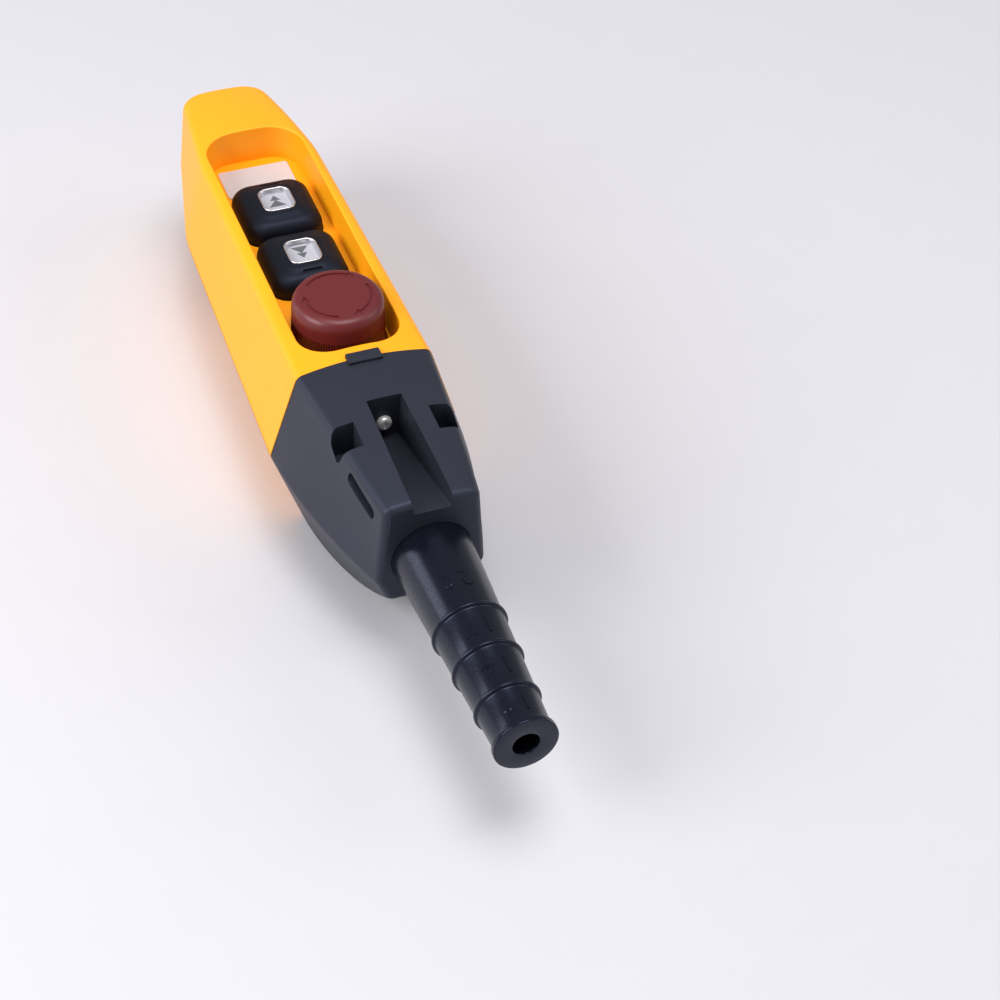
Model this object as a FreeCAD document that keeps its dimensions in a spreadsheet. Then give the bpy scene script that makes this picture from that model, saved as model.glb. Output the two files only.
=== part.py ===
import FreeCAD, Part
import math
import os
import Sketcher
from FreeCAD import Placement, Rotation, Vector

# Crane pendant control: a two-part moulded housing with two booted pushbuttons and a mushroom
# stop button in a recess of its front, a screwed cap on the cable end and a stepped rubber sleeve.
# It lies on its back. Millimetres, +Z out of the front, +Y to the nose, origin under the middle.

doc = FreeCAD.newDocument("CranePendantControl")
sheet = doc.addObject("Spreadsheet::Sheet", "Sizes")

# Driving dimensions, by the piece that they belong to.
DIMENSIONS = [
    # Housing: lengths along Y, half widths along X, heights above the back.
    ("housing_length", 165),
    ("cap_length", 65),
    ("sleeve_reach", 80),
    ("front_height", 62),
    ("split_height", 30),
    ("crown_radius", 94),
    ("cut_past", 1),
    ("crown_cut_side", 8),
    ("crown_cut_rise", 25),
    ("bow_before_seam", 10),
    ("bow_past_nose", 8),
    ("rise_cut_run", 60),
    ("rise_cut_past", 10),
    ("crown_rise", 1.7),
    ("seam_half_front", 21.9),
    ("seam_half_split", 31.5),
    ("seam_half_back", 21),
    ("waist_from_nose", 50),
    ("waist_half_front", 20.2),
    ("waist_half_split", 27.2),
    ("waist_half_back", 17),
    ("nose_half_front", 14.2),
    ("nose_half_split", 15.5),
    ("nose_half_back", 10),
    ("nose_front_set_back", 2),
    ("nose_back_set_back", 12),
    ("front_bow_radius", 260),
    ("front_bow_length", 60),
    ("nose_rise", 22),
    ("nose_rise_length", 60),
    ("nose_rise_radius", 80),
    ("nose_corner_radius", 9),
    ("waist_radius", 60),
    ("front_edge_radius", 3.5),
    ("back_edge_radius", 6),
    ("wall", 3),
    ("front_hollow_from_nose", 8),
    ("floor_hollow_from_nose", 11),
    ("back_hollow_from_nose", 9),
    ("low_hollow_bend_back", 12),
    ("low_hollow_end_back", 2),
    ("far_boss_foot", 3.9),
    ("boss_floor", 1),
    ("boss_gap", 2.16),
    ("gasket_thickness", 0.8),
    ("gasket_set_back", 0.5),
    ("gasket_inner_corner", 7),
    # Recess in the front and what shows in it.
    ("recess_near_gap", 6),
    ("recess_length", 122.5),
    ("recess_half_width", 17.2),
    ("recess_depth", 12.5),
    ("recess_corner_radius", 11),
    ("recess_draft", 2),
    ("rim_radius", 0.5),
    ("floor_thickness", 2.5),
    ("guide_wall", 1.6),
    ("guide_depth", 5),
    ("post_radius", 3.6),
    ("near_post_across", 14),
    ("near_post_from_seam", 6),
    ("far_post_across", 9),
    ("far_post_from_nose", 47),
    ("shell_screw_radius", 1.5),
    ("screw_head_radius", 2.8),
    ("screw_head_depth", 3),
    ("pilot_depth", 9),
    ("screw_floor", 6),
    ("drive_half_length", 1.8),
    ("drive_half_width", 0.4),
    ("drive_depth", 1.2),
    ("anchor_half_width", 9),
    ("anchor_top_gap", 4.6),
    ("anchor_thickness", 8),
    ("tab_half_width", 5.5),
    ("tab_reach", 2),
    ("tab_root", 2.6),
    ("tab_height", 0.9),
    ("tab_thickness", 1.8),
    ("label_width", 25),
    ("label_length", 15.3),
    ("label_thickness", 0.4),
    ("label_corner_radius", 1),
    ("label_from_rim", 5),
    # Cap and sleeve on the cable end.
    ("cap_knee", 26),
    ("cap_knee_half_front", 19.4),
    ("cap_knee_half_split", 28.2),
    ("cap_knee_half_back", 19),
    ("cap_knee_drop", 0.6),
    ("cap_knee_rise", 4),
    ("cap_heel", 48),
    ("cap_heel_half_front", 17.2),
    ("cap_heel_half_split", 22.8),
    ("cap_heel_half_back", 15.5),
    ("cap_heel_drop", 1.6),
    ("cap_heel_rise", 11),
    ("cap_end_half_front", 15.2),
    ("cap_end_half_split", 17.2),
    ("cap_end_half_back", 13.5),
    ("cap_end_drop", 2.8),
    ("cap_end_rise", 22),
    ("cap_edge_radius", 3.4),
    ("cap_end_radius", 2.4),
    ("channel_half_far", 5.8),
    ("channel_half_near", 7.1),
    ("channel_draft_in", 1.1),
    ("channel_corner_radius", 1),
    ("channel_from_seam", 19.5),
    ("channel_far_depth", 15),
    ("channel_near_depth", 5.4),
    ("pocket_from_seam", 26.3),
    ("pocket_length", 10.6),
    ("pocket_inner", 12.2),
    ("pocket_reach", 8),
    ("pocket_depth", 12),
    ("pocket_corner_radius", 3),
    ("cap_flank_wall", 3.6),
    ("cap_back_wall_in", 1.8),
    ("throat_room", 1),
    ("throat_overlap", 2),
    ("slot_from_end", 5.8),
    ("slot_length", 17.4),
    ("slot_height", 4.2),
    ("slot_below_front", 6.3),
    ("slot_slope", 2.2),
    ("slot_depth", 2.5),
    ("slot_end_radius", 1.9),
    ("sleeve_height", 38),
    ("sleeve_root_radius", 12.9),
    ("sleeve_flange_radius", 14),
    ("sleeve_flange_thickness", 2.5),
    ("sleeve_bore_radius", 4.2),
    ("sleeve_inner_lip", 3),
    ("sleeve_seat_gap", 0.15),
    ("sleeve_entry_gap", 0.1),
    ("sleeve_tip_radius", 8.9),
    ("ring_width", 1.6),
    ("ring_height", 0.9),
    ("ring_flank", 0.32),
    ("tip_flange_radius", 10.1),
    ("tip_flange_thickness", 2.2),
    ("first_ring", 33.7),
    ("second_ring", 49),
    ("third_ring", 65),
    ("cap_screw_head_radius", 2.5),
    ("cap_screw_head_height", 2),
    ("cap_screw_radius", 1.75),
    ("cap_screw_length", 14),
    ("cap_screw_below_front", 9),
    # Chassis, contact blocks and cable clamp inside.
    ("chassis_height", 10),
    ("chassis_thickness", 2),
    ("chassis_half_width", 12),
    ("chassis_tail_half_width", 5.4),
    ("post_bite_gap", 0.4),
    ("block_half_width", 11),
    ("block_half_length", 13),
    ("block_top", 36),
    ("stop_block_top", 28),
    ("block_bore_depth", 20),
    ("terminal_radius", 2.4),
    ("terminal_height", 1.6),
    ("terminal_shank_radius", 1.2),
    ("terminal_shank_length", 7),
    ("terminal_across", 7.8),
    ("terminal_along", 8.5),
    ("clamp_from_seam", 12),
    ("clamp_half_width", 12),
    ("clamp_half_length", 5),
    ("clamp_height", 32),
    ("clamp_gap", 1),
    ("clamp_bar_thickness", 2.5),
    ("cable_room_radius", 5),
    ("clamp_screw_across", 8.5),
    ("clamp_screw_length", 12),
    # Pushbuttons.
    ("button_pitch", 29.7),
    ("stop_to_button", 37.8),
    ("stop_from_rim", 20),
    ("boot_half_width", 13.5),
    ("boot_half_length", 13.9),
    ("boot_corner_radius", 6),
    ("boot_edge_radius", 3.6),
    ("boot_below_front", 4.3),
    ("boot_height", 13.2),
    ("boot_wall", 1.8),
    ("boot_crown", 2.6),
    ("boot_clearance", 0.35),
    ("window_half_width", 5.7),
    ("window_half_length", 6.3),
    ("window_radius", 3.2),
    ("bezel_wall", 1),
    ("bezel_edge_radius", 0.3),
    ("bezel_proud", 0.5),
    ("legend_thickness", 0.8),
    ("legend_depth", 1.1),
    ("plunger_stem_radius", 4),
    ("plunger_stem_length", 18.5),
    ("arrow_half_width", 2.5),
    ("arrow_length", 3.3),
    ("small_arrow_half_width", 1.45),
    ("small_arrow_length", 2.4),
    ("small_arrow_step", 3.2),
    ("up_arrow_start", -1.7),
    ("down_arrow_start", -4.4),
    ("arrow_depth", 0.2),
    ("spring_wire", 0.9),
    ("spring_steps", 10),
    ("button_spring_radius", 6.2),
    ("button_spring_turns", 3),
    ("hole_clearance", 0.2),
    ("seat_clearance", 0.3),
    ("running_clearance", 0.06),
    # Stop button.
    ("stop_radius", 15),
    ("stop_flare", 0.5),
    ("stop_top_above_front", 6.3),
    ("stop_skirt_below_floor", 1),
    ("stop_top_radius", 3.2),
    ("stop_wall", 2.2),
    ("stop_cap_thickness", 4.5),
    ("stop_travel", 4.5),
    ("stop_end_gap", 0.5),
    ("hub_gap", 0.6),
    ("hub_wall", 3),
    ("spigot_below_ceiling", 1),
    ("spring_end_gap", 0.05),
    ("stop_well_clearance", 0.8),
    ("stop_stem_radius", 6),
    ("stop_spigot_radius", 4),
    ("stop_stem_below_bush", 2),
    ("stop_pin_length", 14),
    ("bush_radius", 9.5),
    ("bush_below_nut", 1),
    ("stop_spring_radius", 9.3),
    ("stop_spring_wire", 1.3),
    ("stop_spring_turns", 4),
    ("bush_flange_radius", 11.5),
    ("bush_flange_thickness", 2),
    ("nut_radius", 14),
    ("nut_thickness", 4),
]
for row, (name, value) in enumerate(DIMENSIONS, start=1):
    sheet.set(f"A{row}", name)
    sheet.set(f"B{row}", str(value))
    sheet.setAlias(f"B{row}", name)
doc.recompute()

# Places along Y of what the pieces share, as expressions of the sizes.
NOSE = "(Sizes.housing_length + Sizes.cap_length + Sizes.sleeve_reach) / 2"
SEAM = f"({NOSE} - Sizes.housing_length)"
CAP_END = f"({SEAM} - Sizes.cap_length)"
RIM_NEAR = f"({SEAM} + Sizes.recess_near_gap)"
STOP = f"({RIM_NEAR} + Sizes.stop_from_rim)"
BUTTONS = {
    "down": f"({STOP} + Sizes.stop_to_button)",
    "up": f"({STOP} + Sizes.stop_to_button + Sizes.button_pitch)",
}
WAIST = f"({NOSE} - Sizes.waist_from_nose)"
FLOOR = "(Sizes.front_height - Sizes.recess_depth)"
UNDER_FLOOR = f"({FLOOR} - Sizes.floor_thickness)"

ACROSS_X, ACROSS_Y, ACROSS_Z = "YZ_Plane", "XZ_Plane", "XY_Plane"
TOOL_REACH = "400"


def value(expression):
    """The number that an expression of the sizes gives."""
    result = sheet.evalExpression(expression.replace("Sizes.", ""))
    return float(getattr(result, "Value", result))


def new_body(name):
    """An empty body whose label names its file."""
    body = doc.addObject("PartDesign::Body", name)
    body.Label = name
    return body


def new_sketch(body, name, role, height="0"):
    """A sketch on one of the body's origin planes, moved along the plane's normal."""
    sketch = body.newObject("Sketcher::SketchObject", name)
    plane = next(item for item in body.Origin.OriginFeatures if item.Role == role)
    sketch.AttachmentSupport = [(plane, "")]
    sketch.MapMode = "FlatFace"
    sketch.setExpression("AttachmentOffset.Base.z", height)
    return sketch


def constrain(sketch, expression, name, kind, *ends):
    """Adds a constraint whose size is tied to an expression."""
    index = sketch.addConstraint(Sketcher.Constraint(kind, *ends, value(expression)))
    sketch.renameConstraint(index, name)
    sketch.setExpression(f"Constraints.{name}", expression)


def hold(sketch, geometry, point, across, up):
    """Ties one point of the sketch to two expressions."""
    constrain(sketch, across, f"across_{geometry}_{point}", "DistanceX", -1, 1, geometry, point)
    constrain(sketch, up, f"up_{geometry}_{point}", "DistanceY", -1, 1, geometry, point)


def polygon(sketch, points):
    """A closed outline through points: expressions across and up, and the radius of a round corner."""
    places = [Vector(value(point[0]), value(point[1]), 0) for point in points]
    first = sketch.GeometryCount
    for number, start in enumerate(places):
        sketch.addGeometry(Part.LineSegment(start, places[(number + 1) % len(places)]), False)
    for number, point in enumerate(points):
        following = first + (number + 1) % len(points)
        sketch.addConstraint(Sketcher.Constraint("Coincident", first + number, 2, following, 1))
        hold(sketch, first + number, 1, point[0], point[1])
    for number, point in enumerate(points):
        if len(point) > 2:
            arc = sketch.GeometryCount
            sketch.fillet(first + number, 1, value(point[2]), True, True)
            constrain(sketch, point[2], f"round_{first + number}", "Radius", arc)
    return sketch


def rounded_box(sketch, half_width, half_length, radius, up="0"):
    """A rounded rectangle centred on the line across = 0."""
    low, high = f"({up} - {half_length})", f"({up} + {half_length})"
    return polygon(sketch, [
        (f"-({half_width})", low, radius), (half_width, low, radius),
        (half_width, high, radius), (f"-({half_width})", high, radius),
    ])


def rectangle(sketch, left, right, bottom, top):
    """A rectangle between four expressions."""
    return polygon(sketch, [(left, bottom), (right, bottom), (right, top), (left, top)])


def circle(sketch, radius, across="0", up="0"):
    """A circle with its radius and centre tied to expressions."""
    centre = Vector(value(across), value(up), 0)
    index = sketch.addGeometry(Part.Circle(centre, Vector(0, 0, 1), value(radius)), False)
    constraint = sketch.addConstraint(Sketcher.Constraint("Radius", index, value(radius)))
    sketch.setExpression(f"Constraints[{constraint}]", radius)
    hold(sketch, index, 3, across, up)
    return sketch


def extrude(body, kind, sketch, length, reverse=False, both=False, taper=None):
    """A Pad or a Pocket of the sketch, one way or equally both ways."""
    feature = body.newObject(f"PartDesign::{kind}", f"{sketch.Name}_{kind}")
    feature.Profile = sketch
    feature.setExpression("Length", length)
    feature.Reversed = reverse
    feature.Midplane = both
    if taper:
        feature.setExpression("TaperAngle", taper)
    doc.recompute()
    return feature


def loft(body, kind, sketches, ruled=True):
    """An additive or subtractive loft from the first sketch to the last."""
    feature = body.newObject(f"PartDesign::{kind}Loft", f"{sketches[0].Name}_loft")
    feature.Profile = sketches[0]
    feature.Sections = [(sketch, [""]) for sketch in sketches[1:]]
    feature.Ruled = ruled
    doc.recompute()
    return feature


def soften(body, name, radius, chosen, kind="Fillet"):
    """A fillet or chamfer on each edge of the body's last feature that the test chooses."""
    base = body.Tip
    edges = [f"Edge{n}" for n, edge in enumerate(base.Shape.Edges, start=1) if chosen(edge)]
    if not edges:
        raise ValueError(f"{name}: no edge found")
    feature = body.newObject(f"PartDesign::{kind}", name)
    feature.Base = (base, edges)
    feature.setExpression("Radius" if kind == "Fillet" else "Size", radius)
    doc.recompute()
    return feature


def spans(edge, axis):
    """How far the edge reaches along an axis, 0 to 2."""
    box = edge.BoundBox
    return (box.XLength, box.YLength, box.ZLength)[axis]


def middle(edge):
    """The point halfway along the edge."""
    return edge.valueAt((edge.FirstParameter + edge.LastParameter) / 2)


def outline_points(side):
    """The housing's outline seen from the front, at the level whose sizes end in the given word."""
    seam, waist, nose = (f"Sizes.{place}_half_{side}" for place in ("seam", "waist", "nose"))
    tip = NOSE if side == "split" else f"({NOSE} - Sizes.nose_{side}_set_back)"
    bend, corner = "Sizes.waist_radius", "Sizes.nose_corner_radius"
    return [
        (f"-{seam}", SEAM), (seam, SEAM), (waist, WAIST, bend), (nose, tip, corner),
        (f"-{nose}", tip, corner), (f"-{waist}", WAIST, bend),
    ]


def add_outer_form(body, side, start, level):
    """The outer form of one housing half: a ruled loft from its mouth to the given level."""
    split = polygon(new_sketch(body, f"{side}_split", ACROSS_Z, start), outline_points("split"))
    far = polygon(new_sketch(body, f"{side}_level", ACROSS_Z, level), outline_points(side))
    loft(body, "Additive", [split, far])


def half_at(place, side, height):
    """The outline's half width at a place and height, between the split and the given level."""
    span = "(Sizes.front_height - Sizes.split_height)" if side == "front" else "Sizes.split_height"
    share = f"abs({height} - Sizes.split_height) / {span}"
    split, far = f"Sizes.{place}_half_split", f"Sizes.{place}_half_{side}"
    return f"({split} + ({far} - {split}) * {share})"


def hollow_points(side, height, bend, tip):
    """The hollow's outline at a height, one wall inside the flanks and open at the seam."""
    seam, waist, nose = (
        f"({half_at(place, side, height)} - Sizes.wall)" for place in ("seam", "waist", "nose")
    )
    return [
        (f"-{seam}", f"{SEAM} - Sizes.cut_past"), (seam, f"{SEAM} - Sizes.cut_past"), (waist, bend),
        (nose, tip), (f"-{nose}", tip), (f"-{waist}", bend),
    ]


def add_hollow(body, side, near, far):
    """The hollow of one housing half, a ruled loft between two levels: height, bend and tip."""
    mouth = polygon(new_sketch(body, f"{side}_mouth", ACROSS_Z, near[0]), hollow_points(side, *near))
    end = polygon(new_sketch(body, f"{side}_end", ACROSS_Z, far[0]), hollow_points(side, *far))
    loft(body, "Subtractive", [mouth, end])


def crown_sketch(body, name, height):
    """What lies above the crowned front, seen from the cable end."""
    sketch = new_sketch(body, name, ACROSS_Y, height)
    reach, top = "Sizes.seam_half_split + Sizes.crown_cut_side", "Sizes.front_height + Sizes.crown_cut_rise"
    centre = "Sizes.front_height + Sizes.crown_rise - Sizes.crown_radius"
    radius, middle_up = value("Sizes.crown_radius"), value(centre)
    half = math.asin(value(reach) / radius)
    arc = Part.ArcOfCircle(Part.Circle(Vector(0, middle_up, 0), Vector(0, 0, 1), radius),
                           math.pi / 2 - half, math.pi / 2 + half)
    right, left = arc.StartPoint, arc.EndPoint
    high_right, high_left = Vector(right.x, value(top), 0), Vector(left.x, value(top), 0)
    sketch.addGeometry([arc, Part.LineSegment(right, high_right), Part.LineSegment(high_right, high_left),
                        Part.LineSegment(high_left, left)], False)
    for ends in ((1, 1, 0, 1), (1, 2, 2, 1), (2, 2, 3, 1), (3, 2, 0, 2)):
        sketch.addConstraint(Sketcher.Constraint("Coincident", *ends))
    sketch.addConstraint(Sketcher.Constraint("Vertical", 1))
    sketch.addConstraint(Sketcher.Constraint("Vertical", 3))
    constrain(sketch, "Sizes.crown_radius", "crown", "Radius", 0)
    hold(sketch, 0, 3, "0", centre)
    hold(sketch, 2, 1, reach, top)
    hold(sketch, 3, 1, f"-({reach})", top)
    return sketch


BOW_START = f"({SEAM} - Sizes.bow_before_seam)"


def bow_sketch(body, name):
    """The line of the front's middle: straight from the seam, then bowed down to the nose."""
    sketch = new_sketch(body, name, ACROSS_X)
    top = "Sizes.front_height + Sizes.crown_rise"
    start, bend, end = BOW_START, f"{NOSE} - Sizes.front_bow_length", f"{NOSE} + Sizes.bow_past_nose"
    radius = value("Sizes.front_bow_radius")
    centre = Vector(value(bend), value(top) - radius, 0)
    angle = math.asin((value(end) - value(bend)) / radius)
    line = Part.LineSegment(Vector(value(start), value(top), 0), Vector(value(bend), value(top), 0))
    arc = Part.ArcOfCircle(Part.Circle(centre, Vector(0, 0, 1), radius), math.pi / 2 - angle, math.pi / 2)
    sketch.addGeometry([line, arc], False)
    sketch.addConstraint(Sketcher.Constraint("Tangent", 0, 2, 1, 2))
    hold(sketch, 0, 1, start, top)
    hold(sketch, 0, 2, bend, top)
    constrain(sketch, "Sizes.front_bow_radius", "bow", "Radius", 1)
    constrain(sketch, end, "bow_end", "DistanceX", -1, 1, 1, 1)
    return sketch


# Front shell: flanks that lean in to a crowned front, which falls away to the nose.
front_shell = new_body("front_shell")
FRONT_MOUTH = "(Sizes.split_height + Sizes.gasket_thickness)"
add_outer_form(front_shell, "front", FRONT_MOUTH, "Sizes.front_height")
top_block = polygon(new_sketch(front_shell, "front_top", ACROSS_Z, "Sizes.front_height"),
                    outline_points("front"))
extrude(front_shell, "Pad", top_block, "Sizes.crown_rise + Sizes.cut_past")
crown = front_shell.newObject("PartDesign::SubtractivePipe", "front_crown")
crown.Profile = crown_sketch(front_shell, "crown_profile", f"-{BOW_START}")
crown.Spine = (bow_sketch(front_shell, "bow_line"), ["Edge1", "Edge2"])
doc.recompute()


def front_line(edge):
    """The edges round the front of the shell, without the seam's."""
    along, near_front = middle(edge).y, middle(edge).z > value("Sizes.front_height") - 8 and spans(edge, 2) < 5
    return near_front and along > value(SEAM) + 1 and (abs(middle(edge).x) > 11 or along > value(NOSE) - 4)


soften(front_shell, "front_edge", "Sizes.front_edge_radius", front_line)

# The recess: drafted walls, round corners and a flat floor that the buttons come through.
RECESS_MIDDLE = f"({RIM_NEAR} + Sizes.recess_length / 2)"
TOP = "(Sizes.front_height + Sizes.crown_rise + Sizes.cut_past)"
rim = rounded_box(new_sketch(front_shell, "rim", ACROSS_Z, TOP), "Sizes.recess_half_width",
                  "Sizes.recess_length / 2", "Sizes.recess_corner_radius", RECESS_MIDDLE)
extrude(front_shell, "Pocket", rim, f"{TOP} - {FLOOR}", taper="-Sizes.recess_draft")


def rim_line(edge):
    """The edges round the mouth of the recess, without the joint where the front begins to bow."""
    at, far = middle(edge), value(RIM_NEAR) + value("Sizes.recess_length")
    on_front = at.z > value("Sizes.front_height") - 3 and spans(edge, 2) < 3
    in_mouth = abs(at.x) < value("Sizes.recess_half_width") + 0.2 and value(RIM_NEAR) - 0.2 < at.y < far + 0.2
    return on_front and in_mouth and abs(at.y - value(f"{NOSE} - Sizes.front_bow_length")) > 0.1


soften(front_shell, "rim_edge", "Sizes.rim_radius", rim_line)

# The hollow under the floor, and what stands in it.
add_hollow(front_shell, "front", (FRONT_MOUTH, WAIST, f"{NOSE} - Sizes.front_hollow_from_nose"),
           (UNDER_FLOOR, WAIST, f"{NOSE} - Sizes.floor_hollow_from_nose"))
WELL_RADIUS = "(Sizes.stop_radius + Sizes.stop_flare + Sizes.stop_well_clearance)"
WELL_FLOOR = f"({FLOOR} - Sizes.stop_skirt_below_floor - Sizes.stop_travel - Sizes.stop_end_gap)"
WELL_UNDER = f"({WELL_FLOOR} - Sizes.floor_thickness)"
well_wall = circle(new_sketch(front_shell, "well_wall", ACROSS_Z, UNDER_FLOOR),
                   f"{WELL_RADIUS} + Sizes.floor_thickness", up=STOP)
extrude(front_shell, "Pad", well_wall, f"{UNDER_FLOOR} - {WELL_UNDER}", reverse=True)
HOLE_HALF_WIDTH = "(Sizes.boot_half_width + Sizes.boot_clearance)"
HOLE_HALF_LENGTH = "(Sizes.boot_half_length + Sizes.boot_clearance)"
HOLE_RADIUS = "(Sizes.boot_corner_radius + Sizes.boot_clearance)"
guide = rounded_box(new_sketch(front_shell, "guide", ACROSS_Z, UNDER_FLOOR),
                    f"({HOLE_HALF_WIDTH} + Sizes.guide_wall)",
                    f"({HOLE_HALF_LENGTH} + Sizes.button_pitch / 2 + Sizes.guide_wall)",
                    f"({HOLE_RADIUS} + Sizes.guide_wall)", f"({BUTTONS['down']} + Sizes.button_pitch / 2)")
extrude(front_shell, "Pad", guide, "Sizes.guide_depth", reverse=True)
for name, place in BUTTONS.items():
    opening = rounded_box(new_sketch(front_shell, f"{name}_opening", ACROSS_Z, FLOOR),
                          HOLE_HALF_WIDTH, HOLE_HALF_LENGTH, HOLE_RADIUS, place)
    extrude(front_shell, "Pocket", opening, "Sizes.floor_thickness + Sizes.guide_depth + Sizes.cut_past")
well = circle(new_sketch(front_shell, "well", ACROSS_Z, FLOOR), WELL_RADIUS, up=STOP)
extrude(front_shell, "Pocket", well, f"{FLOOR} - {WELL_FLOOR}")
bush_hole = circle(new_sketch(front_shell, "bush_hole", ACROSS_Z, WELL_FLOOR),
                   "Sizes.bush_radius + Sizes.running_clearance", up=STOP)
extrude(front_shell, "Pocket", bush_hole, "Sizes.floor_thickness + Sizes.cut_past")

# Posts that the shell screws bite into, a tongue for the cap's screw and a notch for the cap's tab.
POSTS = [
    ("near", "Sizes.near_post_across", f"({SEAM} + Sizes.near_post_from_seam)"),
    ("far", "Sizes.far_post_across", f"({NOSE} - Sizes.far_post_from_nose)"),
]


def post_circles(body, name, height, radius, posts=POSTS):
    """Circles on one sketch, at the places of the shell screws."""
    sketch = new_sketch(body, name, ACROSS_Z, height)
    for _, across, along in posts:
        circle(sketch, radius, across, along)
        circle(sketch, radius, f"-({across})", along)
    return sketch


extrude(front_shell, "Pad", post_circles(front_shell, "front_posts", FRONT_MOUTH, "Sizes.post_radius"),
        f"{UNDER_FLOOR} - {FRONT_MOUTH}")
extrude(front_shell, "Pocket", post_circles(front_shell, "pilots", FRONT_MOUTH, "Sizes.shell_screw_radius"),
        "Sizes.pilot_depth", reverse=True)
ANCHOR_TOP = "(Sizes.front_height - Sizes.anchor_top_gap)"
anchor = rectangle(new_sketch(front_shell, "anchor", ACROSS_Y, f"-({SEAM} + Sizes.recess_near_gap / 2)"),
                   "-Sizes.anchor_half_width", "Sizes.anchor_half_width",
                   f"{ANCHOR_TOP} - Sizes.anchor_thickness", ANCHOR_TOP)
ANCHOR_REACH = "(Sizes.channel_from_seam - Sizes.wall - Sizes.running_clearance)"
extrude(front_shell, "Pad", anchor, f"{ANCHOR_REACH} + Sizes.recess_near_gap / 2")
CAP_SCREW_UP = "(Sizes.front_height - Sizes.cap_screw_below_front)"
anchor_pilot = circle(new_sketch(front_shell, "anchor_pilot", ACROSS_Y, f"-({SEAM} - {ANCHOR_REACH})"),
                      "Sizes.cap_screw_radius", up=CAP_SCREW_UP)
extrude(front_shell, "Pocket", anchor_pilot, "Sizes.cap_screw_length")
TAB_CLEARANCE = "Sizes.running_clearance * 3"
notch = rectangle(new_sketch(front_shell, "tab_notch", ACROSS_Y, f"-({SEAM})"),
                  f"-(Sizes.tab_half_width + {TAB_CLEARANCE})", f"Sizes.tab_half_width + {TAB_CLEARANCE}",
                  "Sizes.front_height + Sizes.crown_rise + Sizes.tab_height - Sizes.tab_thickness", TOP)
extrude(front_shell, "Pocket", notch, f"Sizes.tab_reach + {TAB_CLEARANCE}")

# Rear shell: flanks that lean in to the back, which rises to the nose.
rear_shell = new_body("rear_shell")
add_outer_form(rear_shell, "back", "Sizes.split_height", "0")
RISE_START = f"({NOSE} - Sizes.nose_rise_length)"
rise = polygon(new_sketch(rear_shell, "nose_rise", ACROSS_X), [
    (f"{RISE_START} - Sizes.rise_cut_run", "0"), (f"{RISE_START} - Sizes.rise_cut_run", "-Sizes.rise_cut_past"),
    (f"{NOSE} + Sizes.rise_cut_past", "-Sizes.rise_cut_past"),
    (f"{NOSE} + Sizes.rise_cut_past",
     "Sizes.nose_rise * (Sizes.nose_rise_length + Sizes.rise_cut_past) / Sizes.nose_rise_length"),
    (RISE_START, "0", "Sizes.nose_rise_radius"),
])
extrude(rear_shell, "Pocket", rise, TOOL_REACH, both=True)


def back_line(edge):
    """The edges round the back of the shell, without the seam's and the flanks' upright ones."""
    at = middle(edge)
    low = at.z < value("Sizes.nose_rise") + 3 and spans(edge, 2) < value("Sizes.split_height") - 3
    return low and at.y > value(SEAM) + 1 and (abs(at.x) > 8 or at.y > value(NOSE) - 14)


soften(rear_shell, "back_edge", "Sizes.back_edge_radius", back_line)
add_hollow(rear_shell, "back", ("Sizes.split_height", WAIST, f"{NOSE} - Sizes.back_hollow_from_nose"),
           ("Sizes.wall", f"({RISE_START} - Sizes.low_hollow_bend_back)",
            f"{RISE_START} - Sizes.low_hollow_end_back"))
POST_TOP = "Sizes.split_height"
FAR_POST_RISE = ("Sizes.nose_rise * (Sizes.nose_rise_length - Sizes.far_post_from_nose)"
                 " / Sizes.nose_rise_length")
extrude(rear_shell, "Pad", post_circles(rear_shell, "near_posts", POST_TOP, "Sizes.post_radius", POSTS[:1]),
        "Sizes.split_height - Sizes.wall", reverse=True)
extrude(rear_shell, "Pad", post_circles(rear_shell, "far_posts", POST_TOP, "Sizes.post_radius", POSTS[1:]),
        f"Sizes.split_height - {FAR_POST_RISE} - Sizes.wall / 2", reverse=True)
extrude(rear_shell, "Pocket", post_circles(rear_shell, "screw_wells", "0",
                                           "Sizes.screw_head_radius + Sizes.seat_clearance"),
        "Sizes.split_height - Sizes.screw_floor", reverse=True)
extrude(rear_shell, "Pocket", post_circles(rear_shell, "screw_holes", "0",
                                           "Sizes.shell_screw_radius + Sizes.hole_clearance"),
        "Sizes.split_height + Sizes.cut_past", reverse=True)

CLAMP = f"({SEAM} - Sizes.clamp_from_seam)"
CHASSIS_PLACES = [
    f"({SEAM} + Sizes.post_radius)",
    f"({STOP} + Sizes.block_half_length + Sizes.post_radius + Sizes.boss_gap)",
    f"({BUTTONS['up']} + Sizes.block_half_length + Sizes.post_radius)",
]


def chassis_circles(body, name, height, radius, places=CHASSIS_PLACES):
    """Circles on the centre line, at the places of the chassis screws."""
    sketch = new_sketch(body, name, ACROSS_Z, height)
    for along in places:
        circle(sketch, radius, up=along)
    return sketch


BOSSES = (("near", CHASSIS_PLACES[:2], "Sizes.wall"), ("far", CHASSIS_PLACES[2:], "Sizes.far_boss_foot"))
for name, places, foot in BOSSES:
    extrude(rear_shell, "Pad", chassis_circles(rear_shell, f"{name}_bosses", "Sizes.chassis_height",
                                               "Sizes.post_radius", places),
            f"Sizes.chassis_height - {foot}", reverse=True)
extrude(rear_shell, "Pocket", chassis_circles(rear_shell, "boss_pilots", "Sizes.chassis_height",
                                              "Sizes.shell_screw_radius"),
        "Sizes.chassis_height - Sizes.wall - Sizes.boss_floor")

# The gasket that seals the two shells along the split, open at the seam like them.
shell_gasket = new_body("shell_gasket")


def ring_points(inset):
    """The housing's outline at the split, moved inwards."""
    seam, waist, nose = (f"(Sizes.{place}_half_split - {inset})" for place in ("seam", "waist", "nose"))
    return seam, waist, nose, f"({NOSE} - {inset})"


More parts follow.
